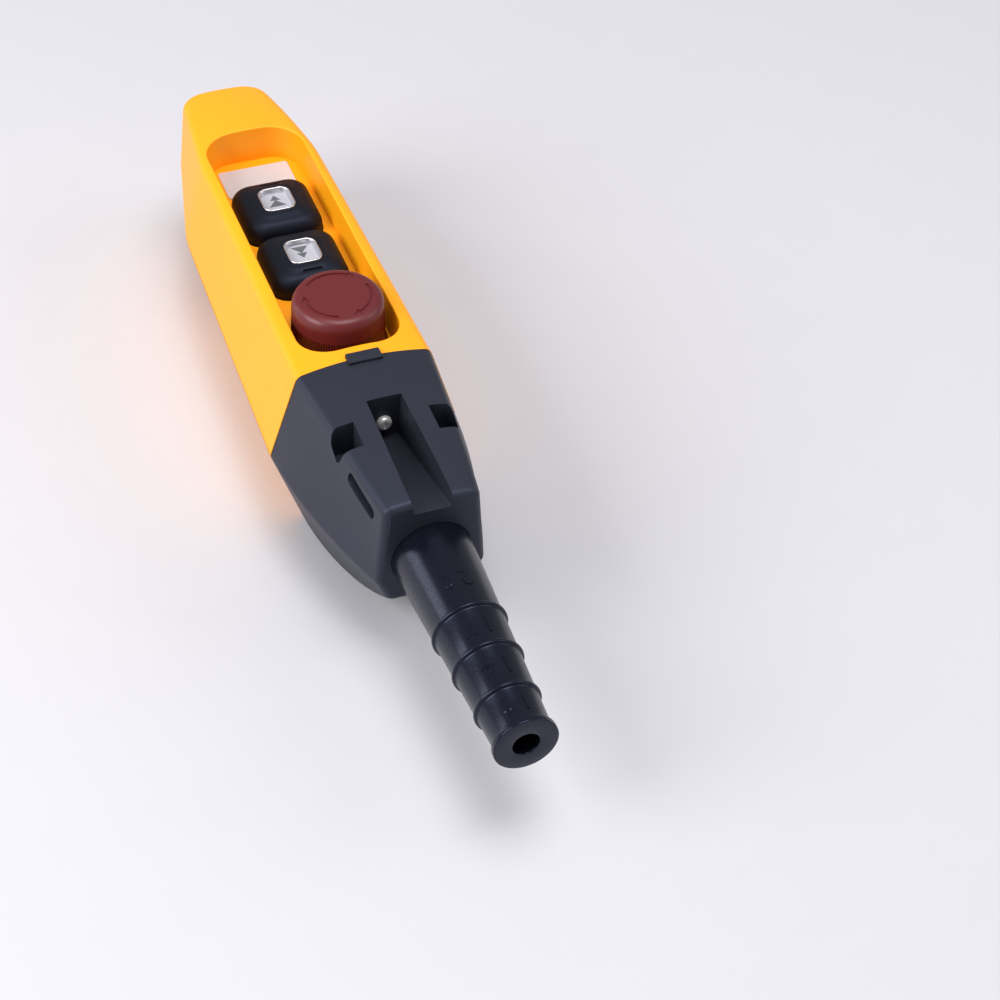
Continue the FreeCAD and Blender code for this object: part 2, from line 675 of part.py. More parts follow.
def band(sketch, outer, inner):
    """A band round the outline, open at the seam."""
    (seam_o, waist_o, nose_o, tip_o), (seam_i, waist_i, nose_i, tip_i) = outer, inner
    bend, corner, tight = "Sizes.waist_radius", "Sizes.nose_corner_radius", "Sizes.gasket_inner_corner"
    return polygon(sketch, [
        (seam_i, SEAM), (seam_o, SEAM), (waist_o, WAIST, bend), (nose_o, tip_o, corner),
        (f"-{nose_o}", tip_o, corner), (f"-{waist_o}", WAIST, bend), (f"-{seam_o}", SEAM),
        (f"-{seam_i}", SEAM), (f"-{waist_i}", WAIST, bend), (f"-{nose_i}", tip_i, tight),
        (nose_i, tip_i, tight), (waist_i, WAIST, bend),
    ])


gasket = band(new_sketch(shell_gasket, "gasket", ACROSS_Z, "Sizes.split_height"),
              ring_points("Sizes.gasket_set_back"), ring_points("Sizes.wall"))
extrude(shell_gasket, "Pad", gasket, "Sizes.gasket_thickness")


def revolve(body, points, role=ACROSS_Y):
    """A turned piece: an outline of radius and height, turned about its upright axis."""
    sketch = polygon(new_sketch(body, f"{body.Name}_outline", role), points)
    feature = body.newObject("PartDesign::Revolution", f"{body.Name}_turned")
    feature.Profile = sketch
    feature.ReferenceAxis = (sketch, ["V_Axis"])
    feature.Angle = 360
    doc.recompute()
    return feature


def screw_points(length, shank, head, height):
    """Half the outline of a screw that points up its axis, head at the bottom."""
    return [("0", "0"), (head, "0"), (head, height), (shank, height), (shank, length), ("0", length)]


def place_at(body, across, along, up):
    """Ties the body's place to three expressions."""
    for axis, expression in zip("xyz", (across, along, up)):
        body.setExpression(f"Placement.Base.{axis}", expression)


# Cap on the cable end: four sections from the seam to a small upright end.
cable_cap = new_body("cable_cap")
STATIONS = [
    ("seam", "0", "0", "0"),
    ("cap_knee", "Sizes.cap_knee", "Sizes.cap_knee_drop", "Sizes.cap_knee_rise"),
    ("cap_heel", "Sizes.cap_heel", "Sizes.cap_heel_drop", "Sizes.cap_heel_rise"),
    ("cap_end", "Sizes.cap_length", "Sizes.cap_end_drop", "Sizes.cap_end_rise"),
]


def cap_section(station, along, drop, rise):
    """One section of the cap: a crowned front, flanks that meet at the split and a flat back."""
    sketch = new_sketch(cable_cap, f"{station}_section", ACROSS_Y, f"-({SEAM} - {along})")
    front, split, back = (f"Sizes.{station}_half_{side}" for side in ("front", "split", "back"))
    radius = value("Sizes.crown_radius")
    centre = f"(Sizes.front_height + Sizes.crown_rise - {drop} - Sizes.crown_radius)"
    half = math.asin(value(front) / radius)
    arc = Part.ArcOfCircle(Part.Circle(Vector(0, value(centre), 0), Vector(0, 0, 1), radius),
                           math.pi / 2 - half, math.pi / 2 + half)
    sketch.addGeometry(arc, False)
    low = [
        (f"-{split}", "Sizes.split_height"), (f"-{back}", rise), (back, rise), (split, "Sizes.split_height"),
    ]
    corners = [arc.EndPoint, *(Vector(value(across), value(up), 0) for across, up in low), arc.StartPoint]
    for start, end in zip(corners, corners[1:]):
        sketch.addGeometry(Part.LineSegment(start, end), False)
    sketch.addConstraint(Sketcher.Constraint("Coincident", 1, 1, 0, 2))
    sketch.addConstraint(Sketcher.Constraint("Coincident", 5, 2, 0, 1))
    constrain(sketch, "Sizes.crown_radius", "crown", "Radius", 0)
    hold(sketch, 0, 3, "0", centre)
    constrain(sketch, front, "front_right", "DistanceX", -1, 1, 0, 1)
    constrain(sketch, f"-{front}", "front_left", "DistanceX", -1, 1, 0, 2)
    for number, (across, up) in enumerate(low):
        sketch.addConstraint(Sketcher.Constraint("Coincident", number + 1, 2, number + 2, 1))
        hold(sketch, number + 2, 1, across, up)
    return sketch


loft(cable_cap, "Additive", [cap_section(*station) for station in STATIONS], ruled=False)
soften(cable_cap, "cap_edges", "Sizes.cap_edge_radius",
       lambda edge: spans(edge, 1) > value("Sizes.cap_length") - 1)
soften(cable_cap, "cap_end_edge", "Sizes.cap_end_radius",
       lambda edge: spans(edge, 1) < 0.01 and middle(edge).y < value(CAP_END) + 0.01)
CAP_HOLLOW_TOP = "(Sizes.front_height - Sizes.channel_far_depth - Sizes.wall)"


def cap_hollow_section(station, along, drop, rise):
    """The cap's hollow at one section, below the channel and one wall inside the flanks."""
    sketch = new_sketch(cable_cap, f"{station}_hollow", ACROSS_Y, f"-({SEAM} - {along})")
    front, split, back = (f"Sizes.{station}_half_{side}" for side in ("front", "split", "back"))
    share = f"({CAP_HOLLOW_TOP} - Sizes.split_height) / (Sizes.front_height - {drop} - Sizes.split_height)"
    top = f"({split} + ({front} - {split}) * {share} - Sizes.cap_flank_wall)"
    middle_half, low_half = f"({split} - Sizes.cap_flank_wall)", f"({back} - Sizes.cap_back_wall_in)"
    return polygon(sketch, [
        (top, CAP_HOLLOW_TOP), (f"-{top}", CAP_HOLLOW_TOP), (f"-{middle_half}", "Sizes.split_height"),
        (f"-{low_half}", f"{rise} + Sizes.wall"), (low_half, f"{rise} + Sizes.wall"),
        (middle_half, "Sizes.split_height"),
    ])


hollow_stations = STATIONS[:3] + [("cap_end", "(Sizes.cap_length - Sizes.wall)", *STATIONS[3][2:])]
loft(cable_cap, "Subtractive", [cap_hollow_section(*station) for station in hollow_stations], ruled=False)
throat = rectangle(new_sketch(cable_cap, "throat", ACROSS_Y, f"-({SEAM})"),
                   "-(Sizes.anchor_half_width + Sizes.throat_room)", "Sizes.anchor_half_width + Sizes.throat_room",
                   f"{CAP_HOLLOW_TOP} - Sizes.throat_overlap", f"{ANCHOR_TOP} + Sizes.seat_clearance")
extrude(cable_cap, "Pocket", throat, "Sizes.channel_from_seam - Sizes.wall", reverse=True)

# Channel that the screwdriver reaches the cap's screw by, shallower towards the cable.
CHANNEL_FAR = f"({SEAM} - Sizes.channel_from_seam)"


def channel_section(name, along, half, floor):
    """The channel's trapezium at one end, its floor narrower than its mouth by the draft."""
    low = f"({half} - Sizes.channel_draft_in)"
    return polygon(new_sketch(cable_cap, name, ACROSS_Y, f"-({along})"), [
        (f"-{low}", floor, "Sizes.channel_corner_radius"), (low, floor, "Sizes.channel_corner_radius"),
        (half, TOP), (f"-{half}", TOP),
    ])


loft(cable_cap, "Subtractive", [
    channel_section("channel_far", CHANNEL_FAR, "Sizes.channel_half_far",
                    "(Sizes.front_height - Sizes.channel_far_depth)"),
    channel_section("channel_near", f"{CAP_END} - Sizes.cut_past", "Sizes.channel_half_near",
                    "(Sizes.front_height - Sizes.channel_near_depth)"),
])
for side, sign in (("left", "-"), ("right", "")):
    inner, outer = f"{sign}Sizes.pocket_inner", f"{sign}(Sizes.pocket_inner + Sizes.pocket_reach)"
    far, near = f"{SEAM} - Sizes.pocket_from_seam", f"{SEAM} - Sizes.pocket_from_seam - Sizes.pocket_length"
    pocket = polygon(new_sketch(cable_cap, f"{side}_pocket", ACROSS_Z, TOP), [
        (inner, far), (outer, far, "Sizes.pocket_corner_radius"),
        (outer, near, "Sizes.pocket_corner_radius"), (inner, near),
    ])
    extrude(cable_cap, "Pocket", pocket, f"{TOP} - Sizes.front_height + Sizes.pocket_depth")
    slot_near = f"({CAP_END} + Sizes.slot_from_end)"
    slot_top = "(Sizes.front_height - Sizes.slot_below_front + Sizes.slot_height / 2)"
    slot = polygon(new_sketch(cable_cap, f"{side}_slot", ACROSS_X,
                              f"{sign}(Sizes.cap_heel_half_front - Sizes.slot_depth)"), [
        (slot_near, f"{slot_top} - Sizes.slot_slope - Sizes.slot_height", "Sizes.slot_end_radius"),
        (f"{slot_near} + Sizes.slot_length", f"{slot_top} - Sizes.slot_height", "Sizes.slot_end_radius"),
        (f"{slot_near} + Sizes.slot_length", slot_top, "Sizes.slot_end_radius"),
        (slot_near, f"{slot_top} - Sizes.slot_slope", "Sizes.slot_end_radius"),
    ])
    extrude(cable_cap, "Pocket", slot, TOOL_REACH, reverse=side == "right")
entry = circle(new_sketch(cable_cap, "entry", ACROSS_Y, f"-({CAP_END})"),
               "Sizes.sleeve_root_radius + Sizes.sleeve_entry_gap", up="Sizes.sleeve_height")
extrude(cable_cap, "Pocket", entry, "Sizes.wall + Sizes.cut_past")
seat = circle(new_sketch(cable_cap, "sleeve_seat", ACROSS_Y, f"-({CAP_END} + Sizes.wall)"),
              "Sizes.sleeve_flange_radius", up="Sizes.sleeve_height")
extrude(cable_cap, "Pocket", seat, "Sizes.sleeve_flange_thickness")
screw_hole = circle(new_sketch(cable_cap, "cap_screw_hole", ACROSS_Y, f"-({CHANNEL_FAR})"),
                    "Sizes.cap_screw_radius + Sizes.hole_clearance", up=CAP_SCREW_UP)
extrude(cable_cap, "Pocket", screw_hole, "Sizes.wall + Sizes.cut_past")

# Snap tab in the middle of the seam, lying over the front shell's edge.
TAB_TOP = "Sizes.front_height + Sizes.crown_rise + Sizes.tab_height"
tab = rectangle(new_sketch(cable_cap, "tab", ACROSS_Y, f"-({SEAM} + Sizes.tab_reach)"),
                "-Sizes.tab_half_width", "Sizes.tab_half_width",
                f"{TAB_TOP} - Sizes.tab_thickness + {TAB_CLEARANCE}", TAB_TOP)
extrude(cable_cap, "Pad", tab, "Sizes.tab_reach + Sizes.tab_root")

# Rubber sleeve: a stepped taper that is cut at the ring that suits the cable, with an open bore.
cable_sleeve = new_body("cable_sleeve")


def sleeve_radius(along):
    """The sleeve's radius at a distance out of the cap, between its root and its tip."""
    taper = "(Sizes.sleeve_root_radius - Sizes.sleeve_tip_radius)"
    return f"(Sizes.sleeve_root_radius - {taper} * ({along}) / Sizes.sleeve_reach)"


def sleeve_outline():
    """Radius and distance along Y, from the flange inside the cap out to the tip and back up the bore."""
    inner = f"({CAP_END} + Sizes.wall + Sizes.sleeve_flange_thickness)"
    seated = "Sizes.sleeve_flange_radius - Sizes.sleeve_seat_gap"
    points = [
        ("Sizes.sleeve_bore_radius + Sizes.sleeve_inner_lip", inner), (seated, inner),
        (seated, f"{CAP_END} + Sizes.wall"),
        ("Sizes.sleeve_root_radius", f"{CAP_END} + Sizes.wall"), ("Sizes.sleeve_root_radius", CAP_END),
    ]
    for ring in ("Sizes.first_ring", "Sizes.second_ring", "Sizes.third_ring"):
        start, end = f"({ring} - Sizes.ring_width / 2)", f"({ring} + Sizes.ring_width / 2)"
        points += [
            (sleeve_radius(start), f"{CAP_END} - {start}"),
            (f"{sleeve_radius(ring)} + Sizes.ring_height", f"{CAP_END} - {start} - Sizes.ring_flank"),
            (f"{sleeve_radius(ring)} + Sizes.ring_height", f"{CAP_END} - {end} + Sizes.ring_flank"),
            (sleeve_radius(end), f"{CAP_END} - {end}"),
        ]
    flange = "(Sizes.sleeve_reach - Sizes.tip_flange_thickness)"
    return points + [
        (sleeve_radius(flange), f"{CAP_END} - {flange}"),
        ("Sizes.tip_flange_radius", f"{CAP_END} - {flange}"),
        ("Sizes.tip_flange_radius", f"-{NOSE}"), ("Sizes.sleeve_bore_radius", f"-{NOSE}"),
        ("Sizes.sleeve_bore_radius", f"{CAP_END} - Sizes.first_ring"),
    ]


revolve(cable_sleeve, sleeve_outline(), ACROSS_Z)
place_at(cable_sleeve, "0", "0", "Sizes.sleeve_height")

# Rating label, flat on the recess floor beyond the buttons.
rating_label = new_body("rating_label")
LABEL_FAR = f"({RIM_NEAR} + Sizes.recess_length - Sizes.label_from_rim)"
label = rounded_box(new_sketch(rating_label, "label", ACROSS_Z, FLOOR), "(Sizes.label_width / 2)",
                    "(Sizes.label_length / 2)", "Sizes.label_corner_radius",
                    f"({LABEL_FAR} - Sizes.label_length / 2)")
extrude(rating_label, "Pad", label, "Sizes.label_thickness")


# Pushbuttons. Each has a rubber boot over a plunger, whose stem runs in the contact block below.
BOOT_TOP = "(Sizes.front_height - Sizes.boot_below_front)"
BOOT_BOTTOM = f"({BOOT_TOP} - Sizes.boot_height)"
BOOT_CEILING = f"({BOOT_TOP} - Sizes.boot_crown)"
IN_BOOT = ("(Sizes.boot_half_width - Sizes.boot_wall)", "(Sizes.boot_half_length - Sizes.boot_wall)",
           "Sizes.boot_corner_radius - Sizes.boot_wall")
IN_FRAME = ("(Sizes.window_half_width - Sizes.bezel_wall)", "(Sizes.window_half_length - Sizes.bezel_wall)",
            "Sizes.window_radius - Sizes.bezel_wall")
WINDOW = ("Sizes.window_half_width", "Sizes.window_half_length", "Sizes.window_radius")


def make_boot(name, place):
    """A hollow rubber cap with soft edges and a window in its top."""
    boot = new_body(f"{name}_boot")
    outer = rounded_box(new_sketch(boot, f"{name}_boot_outer", ACROSS_Z, BOOT_BOTTOM),
                        "Sizes.boot_half_width", "Sizes.boot_half_length", "Sizes.boot_corner_radius", place)
    extrude(boot, "Pad", outer, "Sizes.boot_height")
    soften(boot, f"{name}_boot_edge", "Sizes.boot_edge_radius",
           lambda edge: abs(middle(edge).z - value(BOOT_TOP)) < 0.01)
    inner = rounded_box(new_sketch(boot, f"{name}_boot_inner", ACROSS_Z, BOOT_BOTTOM), *IN_BOOT, place)
    extrude(boot, "Pocket", inner, "Sizes.boot_height - Sizes.boot_crown", reverse=True)
    window = rounded_box(new_sketch(boot, f"{name}_boot_window", ACROSS_Z, BOOT_TOP), *WINDOW, place)
    extrude(boot, "Pocket", window, "Sizes.boot_crown + Sizes.cut_past")


def make_bezel(name, place):
    """The bright frame of the window, standing just proud of the boot."""
    bezel = new_body(f"{name}_bezel")
    sketch = rounded_box(new_sketch(bezel, f"{name}_frame", ACROSS_Z, BOOT_CEILING), *WINDOW, place)
    extrude(bezel, "Pad", sketch, "Sizes.boot_crown + Sizes.bezel_proud")
    hole = rounded_box(new_sketch(bezel, f"{name}_frame_hole", ACROSS_Z, BOOT_CEILING), *IN_FRAME, place)
    extrude(bezel, "Pocket", hole, "Sizes.boot_crown + Sizes.bezel_proud + Sizes.cut_past", reverse=True)
    soften(bezel, f"{name}_frame_edge", "Sizes.bezel_edge_radius",
           lambda edge: middle(edge).z > value(BOOT_TOP))


LEGEND_TOP = f"({BOOT_TOP} - Sizes.legend_depth)"


def make_legend(name, place, sign):
    """The light plate in the window, with a small and a large arrowhead sunk in its face."""
    legend = new_body(f"{name}_legend")
    plate = rounded_box(new_sketch(legend, f"{name}_plate", ACROSS_Z, f"({LEGEND_TOP} - Sizes.legend_thickness)"),
                        *IN_FRAME, place)
    extrude(legend, "Pad", plate, "Sizes.legend_thickness")
    arrows = new_sketch(legend, f"{name}_arrows", ACROSS_Z, LEGEND_TOP)
    start = f"Sizes.{name}_arrow_start"
    for size, base in (("arrow", start), ("small_arrow", f"({start} + Sizes.small_arrow_step)")):
        half = f"Sizes.{size}_half_width"
        polygon(arrows, [
            (f"-{half}", f"{place} {sign} {base}"), (half, f"{place} {sign} {base}"),
            ("0", f"{place} {sign} ({base} + Sizes.{size}_length)"),
        ])
    extrude(legend, "Pocket", arrows, "Sizes.arrow_depth")


def make_plunger(name, place):
    """The stiff block inside the boot, with a stem down into its contact block."""
    plunger = new_body(f"{name}_plunger")
    block = rounded_box(new_sketch(plunger, f"{name}_block", ACROSS_Z, BOOT_BOTTOM), *IN_BOOT, place)
    extrude(plunger, "Pad", block, "Sizes.boot_height - Sizes.boot_crown")
    seat = rounded_box(new_sketch(plunger, f"{name}_legend_seat", ACROSS_Z, BOOT_CEILING), *IN_FRAME, place)
    extrude(plunger, "Pad", seat, f"{LEGEND_TOP} - Sizes.legend_thickness - {BOOT_CEILING}")
    stem = circle(new_sketch(plunger, f"{name}_stem", ACROSS_Z, BOOT_BOTTOM),
                  "Sizes.plunger_stem_radius", up=place)
    extrude(plunger, "Pad", stem, "Sizes.plunger_stem_length", reverse=True)


for name, place in BUTTONS.items():
    make_boot(name, place)
    make_bezel(name, place)
    make_legend(name, place, "+" if name == "up" else "-")
    make_plunger(name, place)

# Stop button: a mushroom head on a stem, which slides in a bush held in the well by a nut.
HEAD_TOP = "(Sizes.front_height + Sizes.stop_top_above_front)"
SKIRT = f"({FLOOR} - Sizes.stop_skirt_below_floor)"
CEILING = f"({HEAD_TOP} - Sizes.stop_cap_thickness)"
HUB = f"({WELL_FLOOR} + Sizes.bush_flange_thickness + Sizes.stop_travel + Sizes.hub_gap)"
HUB_RADIUS = "(Sizes.stop_spigot_radius + Sizes.hub_wall)"
SPIGOT_TOP = f"({CEILING} - Sizes.spigot_below_ceiling)"

stop_head = new_body("stop_head")
revolve(stop_head, [
    ("0", HEAD_TOP), ("0", SPIGOT_TOP), ("Sizes.stop_spigot_radius + Sizes.running_clearance", SPIGOT_TOP),
    ("Sizes.stop_spigot_radius + Sizes.running_clearance", HUB), (HUB_RADIUS, HUB),
    (HUB_RADIUS, CEILING), ("Sizes.stop_radius - Sizes.stop_wall", CEILING),
    ("Sizes.stop_radius + Sizes.stop_flare - Sizes.stop_wall", SKIRT),
    ("Sizes.stop_radius + Sizes.stop_flare", SKIRT),
    ("Sizes.stop_radius", f"{HEAD_TOP} - Sizes.stop_top_radius"),
    ("Sizes.stop_radius", HEAD_TOP, "Sizes.stop_top_radius"),
])
place_at(stop_head, "0", STOP, "0")

stop_stem = new_body("stop_stem")
BUSH_BOTTOM = f"({WELL_UNDER} - Sizes.nut_thickness - Sizes.bush_below_nut)"
STEM_BOTTOM = f"({BUSH_BOTTOM} - Sizes.stop_stem_below_bush)"
PIN_BOTTOM = f"({STEM_BOTTOM} - Sizes.stop_pin_length)"
STEM_SHOULDER = f"({HUB} - Sizes.running_clearance)"
SPIGOT_END = f"({SPIGOT_TOP} - Sizes.running_clearance)"
revolve(stop_stem, [
    ("0", SPIGOT_END), ("0", PIN_BOTTOM), ("Sizes.plunger_stem_radius", PIN_BOTTOM),
    ("Sizes.plunger_stem_radius", STEM_BOTTOM), ("Sizes.stop_stem_radius", STEM_BOTTOM),
    ("Sizes.stop_stem_radius", STEM_SHOULDER), ("Sizes.stop_spigot_radius", STEM_SHOULDER),
    ("Sizes.stop_spigot_radius", SPIGOT_END),
])
place_at(stop_stem, "0", STOP, "0")

stop_bush = new_body("stop_bush")
FLANGE_TOP = f"({WELL_FLOOR} + Sizes.bush_flange_thickness)"
BUSH_BORE = "(Sizes.stop_stem_radius + Sizes.running_clearance)"
revolve(stop_bush, [
    (BUSH_BORE, FLANGE_TOP), (BUSH_BORE, BUSH_BOTTOM), ("Sizes.bush_radius", BUSH_BOTTOM),
    ("Sizes.bush_radius", WELL_FLOOR), ("Sizes.bush_flange_radius", WELL_FLOOR),
    ("Sizes.bush_flange_radius", FLANGE_TOP),
])
place_at(stop_bush, "0", STOP, "0")

stop_nut = new_body("stop_nut")
nut_top = new_sketch(stop_nut, "nut", ACROSS_Z, WELL_UNDER)
HEXAGON = [(f"Sizes.nut_radius * cos({angle} deg)", f"{STOP} + Sizes.nut_radius * sin({angle} deg)")
           for angle in range(0, 360, 60)]
polygon(nut_top, HEXAGON)
extrude(stop_nut, "Pad", nut_top, "Sizes.nut_thickness", reverse=True)
nut_bore = circle(new_sketch(stop_nut, "nut_bore", ACROSS_Z, WELL_UNDER), "Sizes.bush_radius", up=STOP)
extrude(stop_nut, "Pocket", nut_bore, "Sizes.nut_thickness + Sizes.cut_past")


def make_spring(name, place, low, high, radius, wire, turns):
    """A coil of straight lengths of wire between two levels."""
    steps = round(value(turns) * value("Sizes.spring_steps"))
    rise = (value(high) - value(low) - value(wire) - value("Sizes.spring_end_gap") * 2) / steps
    path = Part.makePolygon([
        Vector(value(radius) * math.cos(step * math.tau / value("Sizes.spring_steps")),
               value(radius) * math.sin(step * math.tau / value("Sizes.spring_steps")), step * rise)
        for step in range(steps + 1)])
    tangent = path.Vertexes[1].Point - path.Vertexes[0].Point
    across = tangent.cross(Vector(0, 0, 1)).normalize() * value(wire) / 2
    corners = [path.Vertexes[0].Point + Rotation(tangent, 60 * corner).multVec(across) for corner in range(7)]
    spring = doc.addObject("Part::Feature", name)
    spring.Shape = path.makePipeShell([Part.makePolygon(corners)], True, False, 1)
    place_at(spring, "0", place, f"{low} + {wire} / 2 + Sizes.spring_end_gap")


make_spring("stop_spring", STOP, FLANGE_TOP, CEILING, "Sizes.stop_spring_radius", "Sizes.stop_spring_wire",
            "Sizes.stop_spring_turns")
for name, place in BUTTONS.items():
    make_spring(f"{name}_spring", place, "Sizes.block_top", BOOT_BOTTOM, "Sizes.button_spring_radius",
                "Sizes.spring_wire", "Sizes.button_spring_turns")

# Chassis plate on the rear posts' level, with a contact block under each button.
CHASSIS_TOP = "(Sizes.chassis_height + Sizes.chassis_thickness)"
chassis = new_body("chassis")
PLATE_NEAR = f"({CLAMP} - Sizes.clamp_half_length)"
PLATE_FAR = f"({BUTTONS['up']} + Sizes.block_half_length)"
TAIL_FAR = f"({CHASSIS_PLACES[2]} + Sizes.post_radius)"
plate = polygon(new_sketch(chassis, "chassis_plate", ACROSS_Z, "Sizes.chassis_height"), [
    ("-Sizes.chassis_half_width", PLATE_NEAR), ("Sizes.chassis_half_width", PLATE_NEAR),
    ("Sizes.chassis_half_width", PLATE_FAR), ("Sizes.chassis_tail_half_width", PLATE_FAR),
    ("Sizes.chassis_tail_half_width", TAIL_FAR), ("-Sizes.chassis_tail_half_width", TAIL_FAR),
    ("-Sizes.chassis_tail_half_width", PLATE_FAR), ("-Sizes.chassis_half_width", PLATE_FAR),
])
extrude(chassis, "Pad", plate, "Sizes.chassis_thickness")
bites = new_sketch(chassis, "post_bites", ACROSS_Z, CHASSIS_TOP)
for sign in "-+":
    circle(bites, "Sizes.post_radius + Sizes.post_bite_gap", f"{sign}Sizes.near_post_across", POSTS[0][2])
extrude(chassis, "Pocket", bites, "Sizes.chassis_thickness + Sizes.cut_past")
extrude(chassis, "Pocket", chassis_circles(chassis, "chassis_holes", CHASSIS_TOP,
                                           "Sizes.shell_screw_radius + Sizes.hole_clearance"),
        "Sizes.chassis_thickness + Sizes.cut_past")


def terminal_places(place):
    """The four corners that a contact block has its terminals at."""
    return [(f"{across}Sizes.terminal_across", f"{place} {along} Sizes.terminal_along")
            for across in ("-", "") for along in "-+"]


def make_block(name, place, top):
    """A contact block with a bore for the stem and four terminals."""
    block = new_body(f"{name}_contact_block")
    base = rectangle(new_sketch(block, f"{name}_block_base", ACROSS_Z, CHASSIS_TOP), "-Sizes.block_half_width",
                     "Sizes.block_half_width", f"{place} - Sizes.block_half_length",
                     f"{place} + Sizes.block_half_length")
    extrude(block, "Pad", base, f"{top} - {CHASSIS_TOP}")
    bore = circle(new_sketch(block, f"{name}_block_bore", ACROSS_Z, top),
                  "Sizes.plunger_stem_radius + Sizes.running_clearance", up=place)
    extrude(block, "Pocket", bore, "Sizes.block_bore_depth")
    holes = new_sketch(block, f"{name}_terminal_holes", ACROSS_Z, top)
    for across, along in terminal_places(place):
        circle(holes, "Sizes.terminal_shank_radius", across, along)
    extrude(block, "Pocket", holes, "Sizes.terminal_shank_length + 0.5")


BLOCKS = [("stop", STOP, "Sizes.stop_block_top")]
BLOCKS += [(name, place, "Sizes.block_top") for name, place in BUTTONS.items()]
for block in BLOCKS:
    make_block(*block)


# Clamp for the cable behind the sleeve: a pillar on the chassis and a bar over it.
cable_clamp = new_body("cable_clamp")
CLAMP_TOP = "(Sizes.clamp_height + Sizes.cable_room_radius + Sizes.clamp_bar_thickness)"


def clamp_part(body, name, low, high):
    """One half of the clamp, with its half of the room for the cable."""
    form = rectangle(new_sketch(body, f"{name}_form", ACROSS_Z, low), "-Sizes.clamp_half_width",
                     "Sizes.clamp_half_width", f"{CLAMP} - Sizes.clamp_half_length",
                     f"{CLAMP} + Sizes.clamp_half_length")
    extrude(body, "Pad", form, f"{high} - {low}")
    room = circle(new_sketch(body, f"{name}_room", ACROSS_Y, f"-({CLAMP} - Sizes.clamp_half_length - 1)"),
                  "Sizes.cable_room_radius", up="Sizes.clamp_height")
    extrude(body, "Pocket", room, "Sizes.clamp_half_length * 2 + 2")


def clamp_circles(body, name, height, radius):
    """Two circles at the places of the clamp's screws."""
    sketch = new_sketch(body, name, ACROSS_Z, height)
    for sign in "-+":
        circle(sketch, radius, f"{sign}Sizes.clamp_screw_across", CLAMP)
    return sketch


clamp_part(cable_clamp, "pillar", CHASSIS_TOP, "(Sizes.clamp_height - Sizes.clamp_gap / 2)")
extrude(cable_clamp, "Pocket", clamp_circles(cable_clamp, "pillar_pilots", "Sizes.clamp_height",
                                             "Sizes.shell_screw_radius"), "Sizes.clamp_screw_length")
clamp_bar = new_body("clamp_bar")
clamp_part(clamp_bar, "bar", "(Sizes.clamp_height + Sizes.clamp_gap / 2)", CLAMP_TOP)
extrude(clamp_bar, "Pocket", clamp_circles(clamp_bar, "bar_holes", CLAMP_TOP, "Sizes.shell_screw_radius + 0.2"),
        "Sizes.clamp_screw_length")


def make_screw(label, sizes, turn, across, along, up):
    """One screw with a cross recess, its head on its own origin, turned and put in its place."""
    screw = new_body(label)
    revolve(screw, screw_points(*sizes))
    for name, half_x, half_y in (("drive", "length", "width"), ("cross_drive", "width", "length")):
        slot = rectangle(new_sketch(screw, f"{label}_{name}", ACROSS_Z), f"-Sizes.drive_half_{half_x}",
                         f"Sizes.drive_half_{half_x}", f"-Sizes.drive_half_{half_y}", f"Sizes.drive_half_{half_y}")
        extrude(screw, "Pocket", slot, "Sizes.drive_depth", reverse=True)
    screw.Placement = Placement(Vector(), turn)
    place_at(screw, across, along, up)
    return screw


def make_group(label, members):
    """Identical fasteners kept together as separate solids."""
    group = doc.addObject("Part::Compound", label)
    group.Label = label
    group.Links = members


UPRIGHT = Rotation()
HEAD_UP = Rotation(Vector(1, 0, 0), 180)
ALONG_Y = Rotation(Vector(1, 0, 0), -90)
SHELL_SIZES = ("Sizes.screw_head_depth + Sizes.screw_floor + Sizes.gasket_thickness + Sizes.pilot_depth - 0.5",
               "Sizes.shell_screw_radius", "Sizes.screw_head_radius", "Sizes.screw_head_depth")
make_group("shell_screws", [
    make_screw(f"shell_screw_{end}_{side}", SHELL_SIZES, UPRIGHT, f"{sign}({across})", along,
               "Sizes.split_height - Sizes.screw_floor - Sizes.screw_head_depth")
    for end, across, along in POSTS for side, sign in (("left", "-"), ("right", ""))
])
CHASSIS_SIZES = ("Sizes.screw_head_depth + Sizes.chassis_thickness + Sizes.chassis_height - Sizes.wall - 1.5",
                 "Sizes.shell_screw_radius", "Sizes.screw_head_radius", "Sizes.screw_head_depth")
make_group("chassis_screws", [
    make_screw(f"chassis_screw_{row}", CHASSIS_SIZES, HEAD_UP, "0", along, f"{CHASSIS_TOP} + Sizes.screw_head_depth")
    for row, along in enumerate(CHASSIS_PLACES)
])
CLAMP_SIZES = (f"Sizes.screw_head_depth + {CLAMP_TOP} - Sizes.clamp_height + Sizes.clamp_screw_length - 0.5",
               "Sizes.shell_screw_radius", "Sizes.screw_head_radius", "Sizes.screw_head_depth")
make_group("clamp_screws", [
    make_screw(f"clamp_screw_{side}", CLAMP_SIZES, HEAD_UP, f"{sign}Sizes.clamp_screw_across", CLAMP,
               f"{CLAMP_TOP} + Sizes.screw_head_depth")
    for side, sign in (("left", "-"), ("right", ""))
])
TERMINAL_SIZES = ("Sizes.terminal_height + Sizes.terminal_shank_length", "Sizes.terminal_shank_radius",
                  "Sizes.terminal_radius", "Sizes.terminal_height")
make_group("terminal_screws", [
    make_screw(f"{name}_terminal_{corner}", TERMINAL_SIZES, HEAD_UP, across, along, f"{top} + Sizes.terminal_height")
    for name, place, top in BLOCKS for corner, (across, along) in enumerate(terminal_places(place))
])
make_screw("cap_screw", ("Sizes.cap_screw_head_height + Sizes.wall + Sizes.cap_screw_length - 0.5",
                         "Sizes.cap_screw_radius", "Sizes.cap_screw_head_radius", "Sizes.cap_screw_head_height"),
           ALONG_Y, "0", f"{CHANNEL_FAR} - Sizes.cap_screw_head_height", CAP_SCREW_UP)
doc.recompute()

